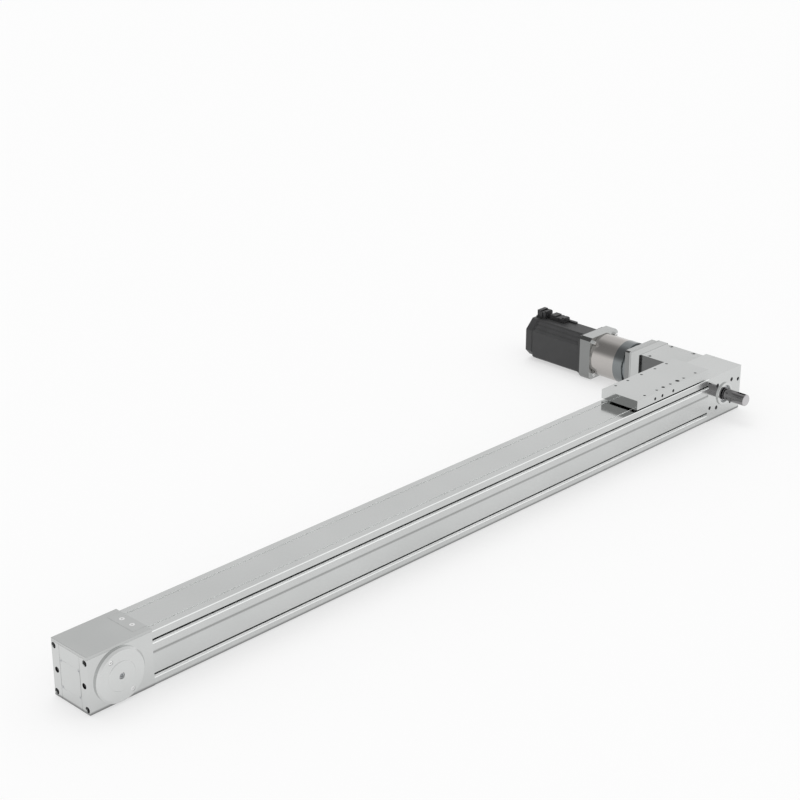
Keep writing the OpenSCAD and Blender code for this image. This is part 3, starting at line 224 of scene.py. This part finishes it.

# Places on the profile, in metres: OFF is the distance from its middle plane, RISE is measured from the
# middle of a T-slot. A LOSS or GAIN is a share of the metal's own tone, taken off as painted shade or
# added as painted light
SLOT_HEIGHTS = (0.0162, 0.0707)
SLOT_OFF = (0.0330, 0.0391)
SLOT_BACK_OFF = (0.0330, 0.0346)
SLOT_BACK_RISE = (-0.0030, 0.0060)
SLOT_ROOF_RISE = (0.0005, 0.0060)
SLOT_FLOOR_RISE = (-0.0060, -0.0024)
SLOT_LOSS = 0.88
SLOT_FLOOR_GAIN = 0.55
LIP_OFF = (0.0376, 0.0401)
LIP_RISE = (-0.0037, -0.0023)
EDGE_OFF = 0.0392
EDGE_RISE = (-0.0050, -0.0033)
CORNER_OFF = 0.0391
CORNER_FOOT = 0.0846
HIGHLIGHT_GAIN = 0.58
MARK_HEIGHT = 0.0527
MARK_OFF = 0.0388
MARK_FADE = (0.0014, 0.0030)
MARK_LOSS = 0.30
LOW_BAND_TOP = 0.0125
LOW_BAND_GAIN = 0.05
SLIT_OFF = (0.0249, 0.02765)
SLIT_FOOT = 0.0790
SLIT_GAIN = 0.60

# The lowest edge of every block fades into its contact shadow between these heights
FOOT_FADE = (0.0018, 0.0048)
FOOT_LOSS = 0.58

# Bores of the tension screws, in the end at -X, with painted shade on their walls
TENSION_BORE_Y = 0.031
TENSION_BORE_Z = 0.043
TENSION_BORE_R = 0.0048
TENSION_BORE_X = -0.70
TENSION_BORE_LOSS = 0.80

# A joint line fades out between these distances from its plane
SEAM_FADE = (0.0004, 0.0009)
SEAM_LOSS = 0.45

# The carriage table: its middle along X, the room inside its outer faces, and its bores, which get
# painted shade
TABLE_MIDDLE = 0.540
TABLE_TOP = 0.1065
TABLE_SKIN = 0.0004
TABLE_FOOT = 0.0925
TABLE_INNER_X = 0.1035
TABLE_INNER_Y = 0.0390
TABLE_BORE_LOSS = 0.85
DOWEL_Y = -0.0325
DOWELS = ((-0.021, 0.0034), (0.021, 0.0043))
DOWEL_LOSS = 0.92

# Shares of a normal above which a face counts as facing that way
FACING = 0.9
FACING_SIDE = 0.8
FACING_CORNER = 0.6
FACING_UP = 0.5

# Painted shade on the sides of the coupling housing and of the gearbox's flanges, and on the journal's
# round surface
SIDE_SHADE_LOSS = 0.74
FLANGE_SIDE_LOSS = 0.47
FLANGE_CORNER_LOSS = 0.62
JOURNAL_LOSS = 0.55


def by_slots(tree, z, span):
    """1 where a point lies within this span of rises at either T-slot."""
    return largest(tree, *[between(tree, minus(tree, z, height), *span) for height in SLOT_HEIGHTS])


def slit_mask(tree):
    """1 on the upright walls of the two slits beside the cover, which are made dull and get painted
    light.
    """
    _, y, z = coordinates(tree)
    _, ny, _ = coordinates(tree, "Normal")
    wall = between(tree, magnitude(tree, y), *SLIT_OFF)
    upright = above(tree, magnitude(tree, ny), FACING)
    return times(tree, wall, times(tree, upright, above(tree, z, SLIT_FOOT)))


def lip_mask(tree):
    """1 on the lower lips of the T-slots, inside the mouth, where light is painted."""
    _, y, z = coordinates(tree)
    _, _, nz = coordinates(tree, "Normal")
    lip = times(tree, between(tree, magnitude(tree, y), *LIP_OFF), above(tree, nz, FACING_UP))
    return times(tree, lip, by_slots(tree, z, LIP_RISE))


def highlight_edges(tree):
    """1 along the edges below the T-slots and at the upper corners, where a highlight is painted."""
    _, y, z = coordinates(tree)
    off = magnitude(tree, y)
    edge = times(tree, above(tree, off, EDGE_OFF), by_slots(tree, z, EDGE_RISE))
    corner = times(tree, above(tree, off, CORNER_OFF), above(tree, z, CORNER_FOOT))
    return largest(tree, edge, corner)


def dull_places(tree):
    """Where the profile is made dull, not metallic: the slits' walls and the lower lips of the T-slots.
    """
    return largest(tree, slit_mask(tree), lip_mask(tree))


def foot_shade(tree):
    """The lowest edge lies in its own contact shadow."""
    _, _, z = coordinates(tree)
    return minus(tree, 1.0, spread(tree, z, FOOT_LOSS, 0, *FOOT_FADE))


def slot_shade(tree):
    """Painted shade deep in the T-slots and at the marking groove; painted light on slot floors, lips,
    slits and edges.
    """
    _, y, z = coordinates(tree)
    off = magnitude(tree, y)
    inside = between(tree, off, *SLOT_OFF)
    back = times(tree, between(tree, off, *SLOT_BACK_OFF), by_slots(tree, z, SLOT_BACK_RISE))
    roof = times(tree, inside, by_slots(tree, z, SLOT_ROOF_RISE))
    # Painted shade at the backs and roofs of the T-slots
    depth = times(tree, largest(tree, back, roof), -SLOT_LOSS)
    # Painted light on the T-slots' lower floors
    lower = times(tree, inside, by_slots(tree, z, SLOT_FLOOR_RISE), SLOT_FLOOR_GAIN)
    # Painted shade in a band along the marking groove
    from_mark = magnitude(tree, minus(tree, z, MARK_HEIGHT))
    outer = times(tree, above(tree, off, MARK_OFF), -MARK_LOSS)
    groove_shade = times(tree, spread(tree, from_mark, 1, 0, *MARK_FADE), outer)
    # Painted light on the lowest band of the profile's faces
    low_band = times(tree, below(tree, z, LOW_BAND_TOP), LOW_BAND_GAIN)
    # Painted light on the walls of the slits beside the cover
    slits = times(tree, slit_mask(tree), SLIT_GAIN)
    # Painted highlights on the lower lips and along the edges below the T-slots and at the upper
    # corners
    edges = times(tree, largest(tree, lip_mask(tree), highlight_edges(tree)), HIGHLIGHT_GAIN)
    change = plus(tree, depth, lower, groove_shade, low_band, slits, edges)
    return times(tree, foot_shade(tree), plus(tree, 1.0, change))


def strip_shade(tree):
    """Painted light on the strip's edges at the slits, so that they are paler than its brushed face."""
    return plus(tree, 1.0, times(tree, slit_mask(tree), SLIT_GAIN))


def within(tree, across, along, radius):
    """1 inside a circle; the two distances are taken from its middle."""
    square = plus(tree, times(tree, across, across), times(tree, along, along))
    return below(tree, square, radius ** 2)


def block_shade(tree):
    """The contact shadow, and painted shade on the walls in the two bores of the tension screws."""
    x, y, z = coordinates(tree)
    nx, _, _ = coordinates(tree, "Normal")
    across = minus(tree, magnitude(tree, y), TENSION_BORE_Y)
    bore = within(tree, across, minus(tree, z, TENSION_BORE_Z), TENSION_BORE_R)
    wall = times(tree, bore, below(tree, x, TENSION_BORE_X), below(tree, magnitude(tree, nx), FACING))
    return times(tree, foot_shade(tree), minus(tree, 1.0, times(tree, wall, TENSION_BORE_LOSS)))


def hole_shade(tree):
    """Painted shade inside the table's bores, and a painted dark ring, as shade of a countersink, round
    the two dowel bores.
    """
    x, y, z = coordinates(tree)
    from_middle = minus(tree, x, TABLE_MIDDLE)
    from_dowels = minus(tree, y, DOWEL_Y)
    sunk = between(tree, z, TABLE_FOOT, TABLE_TOP - TABLE_SKIN)
    inner_y = below(tree, magnitude(tree, y), TABLE_INNER_Y)
    inner_x = below(tree, magnitude(tree, from_middle), TABLE_INNER_X)
    dark = times(tree, sunk, times(tree, inner_y, inner_x), TABLE_BORE_LOSS)
    for place, radius in DOWELS:
        ring = within(tree, minus(tree, from_middle, place), from_dowels, radius)
        dark = largest(tree, dark, times(tree, ring, DOWEL_LOSS))
    return minus(tree, 1.0, dark)


def side_shade(loss, corner_loss=0.0):
    """Painted shade on the faces towards -X and +X, and on the corners cut off above them."""
    def tint(tree):
        nx, _, _ = coordinates(tree, "Normal")
        across = magnitude(tree, nx)
        side = times(tree, above(tree, across, FACING_SIDE), loss)
        corner = times(tree, between(tree, across, FACING_CORNER, FACING_SIDE), corner_loss)
        return minus(tree, 1.0, plus(tree, side, corner))
    return tint


def journal_shade(tree):
    """Painted shade on the journal's rounded surface, which is darker than its faced end."""
    _, ny, _ = coordinates(tree, "Normal")
    rounded = below(tree, magnitude(tree, ny), FACING_CORNER)
    return minus(tree, 1.0, times(tree, rounded, JOURNAL_LOSS))


def seams(shade, planes):
    """Thin dark joint lines at planes across Y, on top of another shade."""
    def tint(tree):
        _, y, _ = coordinates(tree)
        total = shade(tree)
        for plane in planes:
            near = magnitude(tree, minus(tree, y, plane))
            line = spread(tree, near, SEAM_LOSS, 0, *SEAM_FADE)
            total = times(tree, total, minus(tree, 1.0, line))
        return total
    return tint


def joint_planes(*names):
    """The planes across Y where these nodes begin and end."""
    return sorted({round(corner[1], 5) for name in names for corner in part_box(name)})


extruded = metal("extruded_aluminium", (0.585, 0.595, 0.590), (0.620, 0.630, 0.625), (0.12, 0.18),
                 900.0, DRAWN_X, 0.02 * MM, tint=slot_shade, matte=dull_places)
strip = metal("strip_aluminium", (0.580, 0.590, 0.585), (0.605, 0.615, 0.610), (0.10, 0.16),
              700.0, DRAWN_X, 0.01 * MM, tint=strip_shade, matte=slit_mask)
table_metal = metal("table_aluminium", (0.575, 0.585, 0.580), (0.610, 0.620, 0.615), (0.09, 0.15),
                    500.0, MILLED_X, 0.006 * MM, tint=hole_shade)
milled = metal("milled_aluminium", (0.600, 0.610, 0.605), (0.635, 0.645, 0.640), (0.07, 0.13),
               500.0, MILLED_Z, 0.006 * MM, tint=block_shade)
plate = metal("plate_aluminium", (0.520, 0.530, 0.525), (0.555, 0.565, 0.560), (0.10, 0.16),
              500.0, MILLED_Z, 0.006 * MM,
              tint=seams(foot_shade, joint_planes("adapter_plate", "gearbox_flange")))
cover_plate = metal("cover_aluminium", (0.515, 0.525, 0.520), (0.550, 0.560, 0.555), (0.12, 0.18),
                    500.0, MILLED_X, 0.006 * MM)
# Its faces towards -X and +X get painted shade
side_shaded = metal("side_shaded_aluminium", (0.550, 0.560, 0.555), (0.590, 0.600, 0.595), (0.16, 0.24),
                  500.0, MILLED_Y, 0.008 * MM,
                  tint=seams(side_shade(SIDE_SHADE_LOSS), joint_planes("coupling_housing")))
turned = metal("turned_aluminium", (0.640, 0.650, 0.645), (0.680, 0.690, 0.685), (0.12, 0.18),
               900.0, FACED_Y, 0.008 * MM)
ground = metal("ground_steel", (0.50, 0.51, 0.52), (0.56, 0.57, 0.58), (0.08, 0.16),
               1200.0, DRAWN_Y, 0.006 * MM)
# The flanges' sides and cut-off corners get painted shade
flange_metal = metal("flange_aluminium", (0.46, 0.47, 0.465), (0.50, 0.51, 0.505), (0.16, 0.24),
                     500.0, MILLED_X, 0.008 * MM, tint=side_shade(FLANGE_SIDE_LOSS, FLANGE_CORNER_LOSS))
# Its rounded surface gets painted shade
journal = metal("journal_steel", (0.52, 0.51, 0.52), (0.58, 0.57, 0.58), (0.08, 0.14),
                1200.0, TURNED_Y, 0.006 * MM, tint=journal_shade)
bright = metal("gearbox_steel", (0.44, 0.42, 0.41), (0.50, 0.48, 0.46), (0.14, 0.22),
               1100.0, TURNED_Y, 0.01 * MM)
oxide = metal("dark_oxide_steel", (0.19, 0.205, 0.21), (0.24, 0.255, 0.26), (0.14, 0.22),
              900.0, TURNED_Y, 0.01 * MM)
screw = metal("black_screw_steel", (0.020, 0.020, 0.022), (0.04, 0.04, 0.043), (0.30, 0.42),
              1500.0, EVEN, 0.01 * MM, metallic=0.6)
zinc = metal("bright_screw_steel", (0.80, 0.80, 0.80), (0.88, 0.88, 0.88), (0.12, 0.22),
             1500.0, EVEN, 0.01 * MM)
coating = plastic("motor_coating", (0.036, 0.036, 0.037), (0.046, 0.046, 0.047), (0.42, 0.55),
                  1800.0, 0.02 * MM)
moulded = plastic("connector_plastic", (0.016, 0.016, 0.017), (0.026, 0.026, 0.027), (0.36, 0.50),
                  2500.0, 0.03 * MM)
rubber = plastic("belt_rubber", (0.018, 0.018, 0.018), (0.03, 0.03, 0.03), (0.6, 0.75),
                 2500.0, 0.04 * MM)
elastomer = plastic("spider_elastomer", (0.42, 0.05, 0.03), (0.50, 0.08, 0.05), (0.40, 0.50),
                    1500.0, 0.02 * MM)

FINISH_OF_SLOT = {
    "anodised_aluminium": extruded,
    "machined_aluminium": milled,
    "ground_steel": ground,
    "gearbox_steel": bright,
    "black_steel": screw,
    "dark_ring": oxide,
    "motor_coating": coating,
    "black_plastic": moulded,
    "rubber": rubber,
    "spider_plastic": elastomer,
}
FINISH_OF_NODE = {
    "cover_strip": strip,
    "idler_cover_front": turned,
    "idler_cover_back": turned,
    "shaft_ring": turned,
    "bearing_cover": milled,
    "adapter_plate": plate,
    "tension_top_cover": cover_plate,
    "strip_clamp": cover_plate,
    "coupling_housing": side_shaded,
    "gearbox_flange": flange_metal,
    "gearbox_input_flange": flange_metal,
    "drive_shaft": journal,
    "carriage_table": table_metal,
    "grease_ports": screw,
    "motor_screws": zinc,
    "strip_screws": zinc,
    "coupling_housing_screws": zinc,
    "idler_cover_screws": zinc,
    "tension_panel_screws": ground,
    "drive_panel_screws": ground,
}
for part in frame["record"]["subparts"]:
    name = part["node"]
    finish = FINISH_OF_NODE.get(name, FINISH_OF_SLOT[part["material_slot"]])
    for slot in nodes[name].material_slots:
        slot.material = finish

# ---------- Edges ----------

WELD_GAP = 0.002 * MM
EDGE_STEPS = 2
EDGE_ANGLE = math.radians(35)
# Width of the broken edge of each block that has one
BROKEN_EDGES = {
    "tension_housing": 0.9 * MM,
    "tension_top_cover": 0.25 * MM,
    "tension_end_panel": 0.3 * MM,
    "drive_housing": 0.8 * MM,
    "drive_end_panel": 0.3 * MM,
    "coupling_housing": 0.9 * MM,
    "adapter_plate": 0.9 * MM,
    "gearbox_flange": 0.8 * MM,
    "gearbox_input_flange": 0.9 * MM,
    "motor_flange": 0.6 * MM,
    "motor_body": 0.8 * MM,
    "motor_rear_cover": 0.8 * MM,
    "power_connector": 0.4 * MM,
    "encoder_connector": 0.4 * MM,
    "carriage_table": 0.7 * MM,
}
for name, width in BROKEN_EDGES.items():
    weld = nodes[name].modifiers.new("weld", "WELD")
    weld.merge_threshold = WELD_GAP
    edge = nodes[name].modifiers.new("broken_edges", "BEVEL")
    edge.width = width
    edge.segments = EDGE_STEPS
    edge.limit_method = "ANGLE"
    edge.angle_limit = EDGE_ANGLE
    edge.harden_normals = True

# ---------- Small pieces ----------

SHARP_ANGLE = math.radians(30)
ON_AXIS = 1e-7
FRONT = ((0, -1, 0), (1, 0, 0), (0, 0, 1))
BACK = ((0, 1, 0), (-1, 0, 0), (0, 0, 1))


def solid(name, body, finish, build):
    """A new piece from a bmesh, smooth but for its sharp edges, riding on a body."""
    mesh = bpy.data.meshes.new(name)
    form = bmesh.new()
    build(form)
    bmesh.ops.recalc_face_normals(form, faces=form.faces)
    form.to_mesh(mesh)
    form.free()
    mesh.materials.append(finish)
    mesh.shade_smooth()
    mesh.set_sharp_from_angle(angle=SHARP_ANGLE)
    piece = bpy.data.objects.new(name, mesh)
    bpy.context.scene.collection.objects.link(piece)
    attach(piece, body)


def turn(form, place, directions, outline, steps=64):
    """Turns an outline of (radius, distance) pairs; the directions are the axis and two sides of it."""
    axis, side, up = (Vector(direction) for direction in directions)
    rings = []
    for radius, along in outline:
        if radius < ON_AXIS:
            rings.append([form.verts.new(Vector(place) + axis * along)])
            continue
        ring = []
        for k in range(steps):
            angle = 2 * math.pi * k / steps
            out = side * math.cos(angle) + up * math.sin(angle)
            ring.append(form.verts.new(Vector(place) + axis * along + out * radius))
        rings.append(ring)
    for near, far in zip(rings, rings[1:]):
        for k in range(steps):
            n = (k + 1) % steps
            corners = [near[k % len(near)], near[n % len(near)], far[n % len(far)], far[k % len(far)]]
            # A ring on the axis is one point, which would else stand twice among a face's corners
            form.faces.new(list(dict.fromkeys(corners)))


def middle(node):
    """The middle of a node's box."""
    node_low, node_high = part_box(node)
    return [(a + b) / 2 for a, b in zip(node_low, node_high)]


# Raised boss with a bevelled rim on each round cover, and the plug with a hexagon socket in its tapped
# middle. Each outline is (radius, height over the cover's face)
BOSS_R = 23.2 * MM
BOSS_RISE = 0.9 * MM
BOSS_BORE = 4.6 * MM
BOSS_OUTLINE = (
    (BOSS_BORE, -1.0 * MM), (BOSS_BORE, 0.2 * MM), (BOSS_BORE + 0.7 * MM, BOSS_RISE),
    (BOSS_R - 0.8 * MM, BOSS_RISE), (BOSS_R, 0.1 * MM), (BOSS_R, -0.05 * MM),
    (BOSS_R - 0.6 * MM, -1.0 * MM), (BOSS_BORE, -1.0 * MM))
PLUG_STEPS = 48
HEXAGON_R = 3.0 * MM
HEXAGON = 6
PLUG_OUTLINE = (
    (0, -3.6 * MM), (BOSS_BORE, -3.6 * MM), (BOSS_BORE, -1.4 * MM), (4.2 * MM, -1.0 * MM),
    (HEXAGON_R, -1.0 * MM))
PLUG_SOCKET = ((HEXAGON_R, -1.0 * MM), (2.9 * MM, -3.2 * MM), (0, -3.4 * MM))
for side, axes in (("front", FRONT), ("back", BACK)):
    cover = "idler_cover_" + side
    cover_low, cover_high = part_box(cover)
    face_y = cover_low[1] if side == "front" else cover_high[1]
    centre_x, _, centre_z = middle(cover)
    place = (centre_x, face_y, centre_z)

    def boss(form, place=place, axes=axes):
        turn(form, place, axes, BOSS_OUTLINE)

    def plug(form, place=place, axes=axes):
        turn(form, place, axes, PLUG_OUTLINE, PLUG_STEPS)
        turn(form, place, axes, PLUG_SOCKET, HEXAGON)

    solid("cover_boss_" + side, "frame", turned, boss)
    solid("cover_plug_" + side, "frame", ground, plug)


# Insulating insert and contact pins in each of the two motor sockets
SOCKET_FLOOR = 5.0 * MM
SOCKET_SIDE = 4.0 * MM
SOCKET_DEPTH = 12.0 * MM
INSERT_LEN = 6.0 * MM
INSERT_EDGE = 0.4 * MM
SUNK = 0.1 * MM
PIN_SUNK = 0.5 * MM
PIN_STEPS = 16
# A row of pins begins at this share of the socket's width and is this share of it long
PIN_START = 0.27
PIN_SPAN = 0.46
# Shares of a pin's radius, and the distances from its foot
PIN_OUTLINE = ((0, 0), (1, 0), (1, 3.6 * MM), (0.6, 4.0 * MM), (0, 4.2 * MM))
# Node, pins in a row, height of the insert, height of each row over the socket's underside, pin radius
SOCKETS = (
    ("power_connector", 4, 6.6 * MM, (6.9 * MM, 9.5 * MM), 0.8 * MM),
    ("encoder_connector", 6, 2.7 * MM, (6.4 * MM,), 0.5 * MM),
)


def insert(form, node, height):
    """A block with broken edges on the socket's floor, against its back wall."""
    socket_low, socket_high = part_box(node)
    back_y = socket_high[1] - SOCKET_DEPTH
    base = socket_low[2] + SOCKET_FLOOR - SUNK
    first = Vector((socket_low[0] + SOCKET_SIDE - SUNK, back_y - SUNK, base))
    last = Vector((socket_high[0] - SOCKET_SIDE + SUNK, back_y + INSERT_LEN, base + height))
    place = Matrix.Translation((first + last) / 2) @ Matrix.Diagonal((*(last - first), 1))
    bmesh.ops.create_cube(form, size=1, matrix=place)
    bmesh.ops.bevel(form, geom=list(form.edges), offset=INSERT_EDGE, segments=EDGE_STEPS,
                    affect="EDGES", profile=0.5)


def pins(form, node, count, heights, radius):
    """Round contact pins that stand out of the insert."""
    socket_low, socket_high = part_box(node)
    width = socket_high[0] - socket_low[0]
    foot_y = socket_high[1] - SOCKET_DEPTH + INSERT_LEN - PIN_SUNK
    outline = [(share * radius, along) for share, along in PIN_OUTLINE]
    for height in heights:
        for k in range(count):
            x = socket_low[0] + width * (PIN_START + PIN_SPAN * k / (count - 1))
            turn(form, (x, foot_y, socket_low[2] + height), BACK, outline, PIN_STEPS)


for node, count, insert_height, heights, radius in SOCKETS:
    solid(node + "_insert", "frame", moulded,
          lambda form: insert(form, node, insert_height))
    solid(node + "_pins", "frame", ground,
          lambda form: pins(form, node, count, heights, radius))

# ---------- Floor, light and camera ----------

FLOOR_SIZE = 60.0
FLOOR_GAP = 1.2 * MM
FLOOR_ROUGH = (0.85, 0.95)
FLOOR_GRAIN = 3.0
# The floor's tone where it lights the part and where the camera sees it, and the share that the
# camera sees as plain white
FLOOR_TONE = 0.80
SEEN_TONE = 0.97
SEEN_WHITE = 0.56
# The sky's strength as a light, how much it dims towards the zenith in mirrors, and the card's shade
SKY_LIGHT = 0.84
SKY_FALL = 0.30
CARD_SHADE = 0.65
# Where the card's edge, foot and head fade, on a sphere of directions
CARD_X, CARD_Y = -0.71, 0.71
CARD_EDGE = (0.18, 0.45)
CARD_FOOT = (0.14, 0.44)
CARD_HEAD = (0.80, 1.00)
SUN_ENERGY = 0.62
SUN_ANGLE = math.radians(40)
SUN_FROM = (0.20, 0.40, 1.0)


def seen_directly(tree):
    """1 for what the camera sees itself, in a mirror or through glass, else 0."""
    path = add(tree, "ShaderNodeLightPath")
    kinds = ("Is Camera Ray", "Is Glossy Ray", "Is Transmission Ray")
    return largest(tree, *[path.outputs[kind] for kind in kinds])


bpy.ops.mesh.primitive_plane_add(size=FLOOR_SIZE, location=(0, 0, cad_box[0][2] - FLOOR_GAP))
floor = bpy.context.object
floor.name = "floor"
floor_mat, floor_tree, floor_shader = new_material("floor_paint")
seen = seen_directly(floor_tree)
floor_tone = blend_colours(floor_tree, seen, (FLOOR_TONE,) * 3, (SEEN_TONE,) * 3)
floor_tree.links.new(floor_tone, floor_shader.inputs["Base Color"])
floor_grain = noise(floor_tree, FLOOR_GRAIN, CLOUD_DETAIL)
floor_tree.links.new(spread(floor_tree, floor_grain, *FLOOR_ROUGH), floor_shader.inputs["Roughness"])
floor_shader.inputs["Specular IOR Level"].default_value = 0.0
# The share seen as plain white keeps the shadow on the floor light
white = add(floor_tree, "ShaderNodeEmission", Color=(SEEN_TONE,) * 3 + (1,), Strength=1.0)
floor_mix = add(floor_tree, "ShaderNodeMixShader")
floor_tree.links.new(times(floor_tree, seen, SEEN_WHITE), floor_mix.inputs["Fac"])
floor_tree.links.new(floor_shader.outputs["BSDF"], floor_mix.inputs[1])
floor_tree.links.new(white.outputs["Emission"], floor_mix.inputs[2])
floor_tree.links.new(floor_mix.outputs["Shader"], floor_tree.nodes["Material Output"].inputs["Surface"])
floor.data.materials.append(floor_mat)

world = bpy.data.worlds.new("studio")
bpy.context.scene.world = world
world.use_nodes = True
tree = world.node_tree
sky = tree.nodes["Background"]
sky.inputs["Color"].default_value = (1.0, 1.0, 1.0, 1)
# In mirrors the sky dims towards the zenith, and a grey card stands low at the back left
sky_x, sky_y, sky_z = coordinates(tree, "Generated")
towards_card = plus(tree, times(tree, sky_x, CARD_X), times(tree, sky_y, CARD_Y))
card_height = times(tree, spread(tree, sky_z, 0, 1, *CARD_FOOT), spread(tree, sky_z, 1, 0, *CARD_HEAD))
card = times(tree, spread(tree, towards_card, 0, 1, *CARD_EDGE), card_height)
open_sky = minus(tree, 1.0, times(tree, sky_z, SKY_FALL))
mirrored = times(tree, open_sky, minus(tree, 1.0, times(tree, card, CARD_SHADE)))
sky_strength = add(tree, "ShaderNodeMix", data_type="FLOAT")
tree.links.new(seen_directly(tree), sky_strength.inputs["Factor"])
sky_strength.inputs["A"].default_value = SKY_LIGHT
tree.links.new(mirrored, sky_strength.inputs["B"])
tree.links.new(sky_strength.outputs["Result"], sky.inputs["Strength"])

# A broad lamp high above, a little from behind, so that the shadow lies softly round the part
sun_data = bpy.data.lights.new("overhead", "SUN")
sun_data.energy = SUN_ENERGY
sun_data.angle = SUN_ANGLE
sun = bpy.data.objects.new("overhead", sun_data)
sun.rotation_euler = Vector(SUN_FROM).to_track_quat("Z", "Y").to_euler()
sun.visible_glossy = False
bpy.context.scene.collection.objects.link(sun)

# The camera looks along the axis from the tension end, as far off as the part's perspective shows
CAMERA_PLACE = (-2.0325, -1.8801, 1.3864)
YAW = math.radians(44.51)
PITCH = math.radians(22.73)
LENS_MM = 84.65
SENSOR_MM = 36.0
camera_data = bpy.data.cameras.new("camera")
camera_data.lens = LENS_MM
camera_data.sensor_width = SENSOR_MM
camera = bpy.data.objects.new("camera", camera_data)
camera.location = CAMERA_PLACE
camera.rotation_euler = (math.pi / 2 - PITCH, 0, YAW - math.pi / 2)
bpy.context.scene.collection.objects.link(camera)
bpy.context.scene.camera = camera
bpy.context.scene.view_settings.view_transform = "Standard"
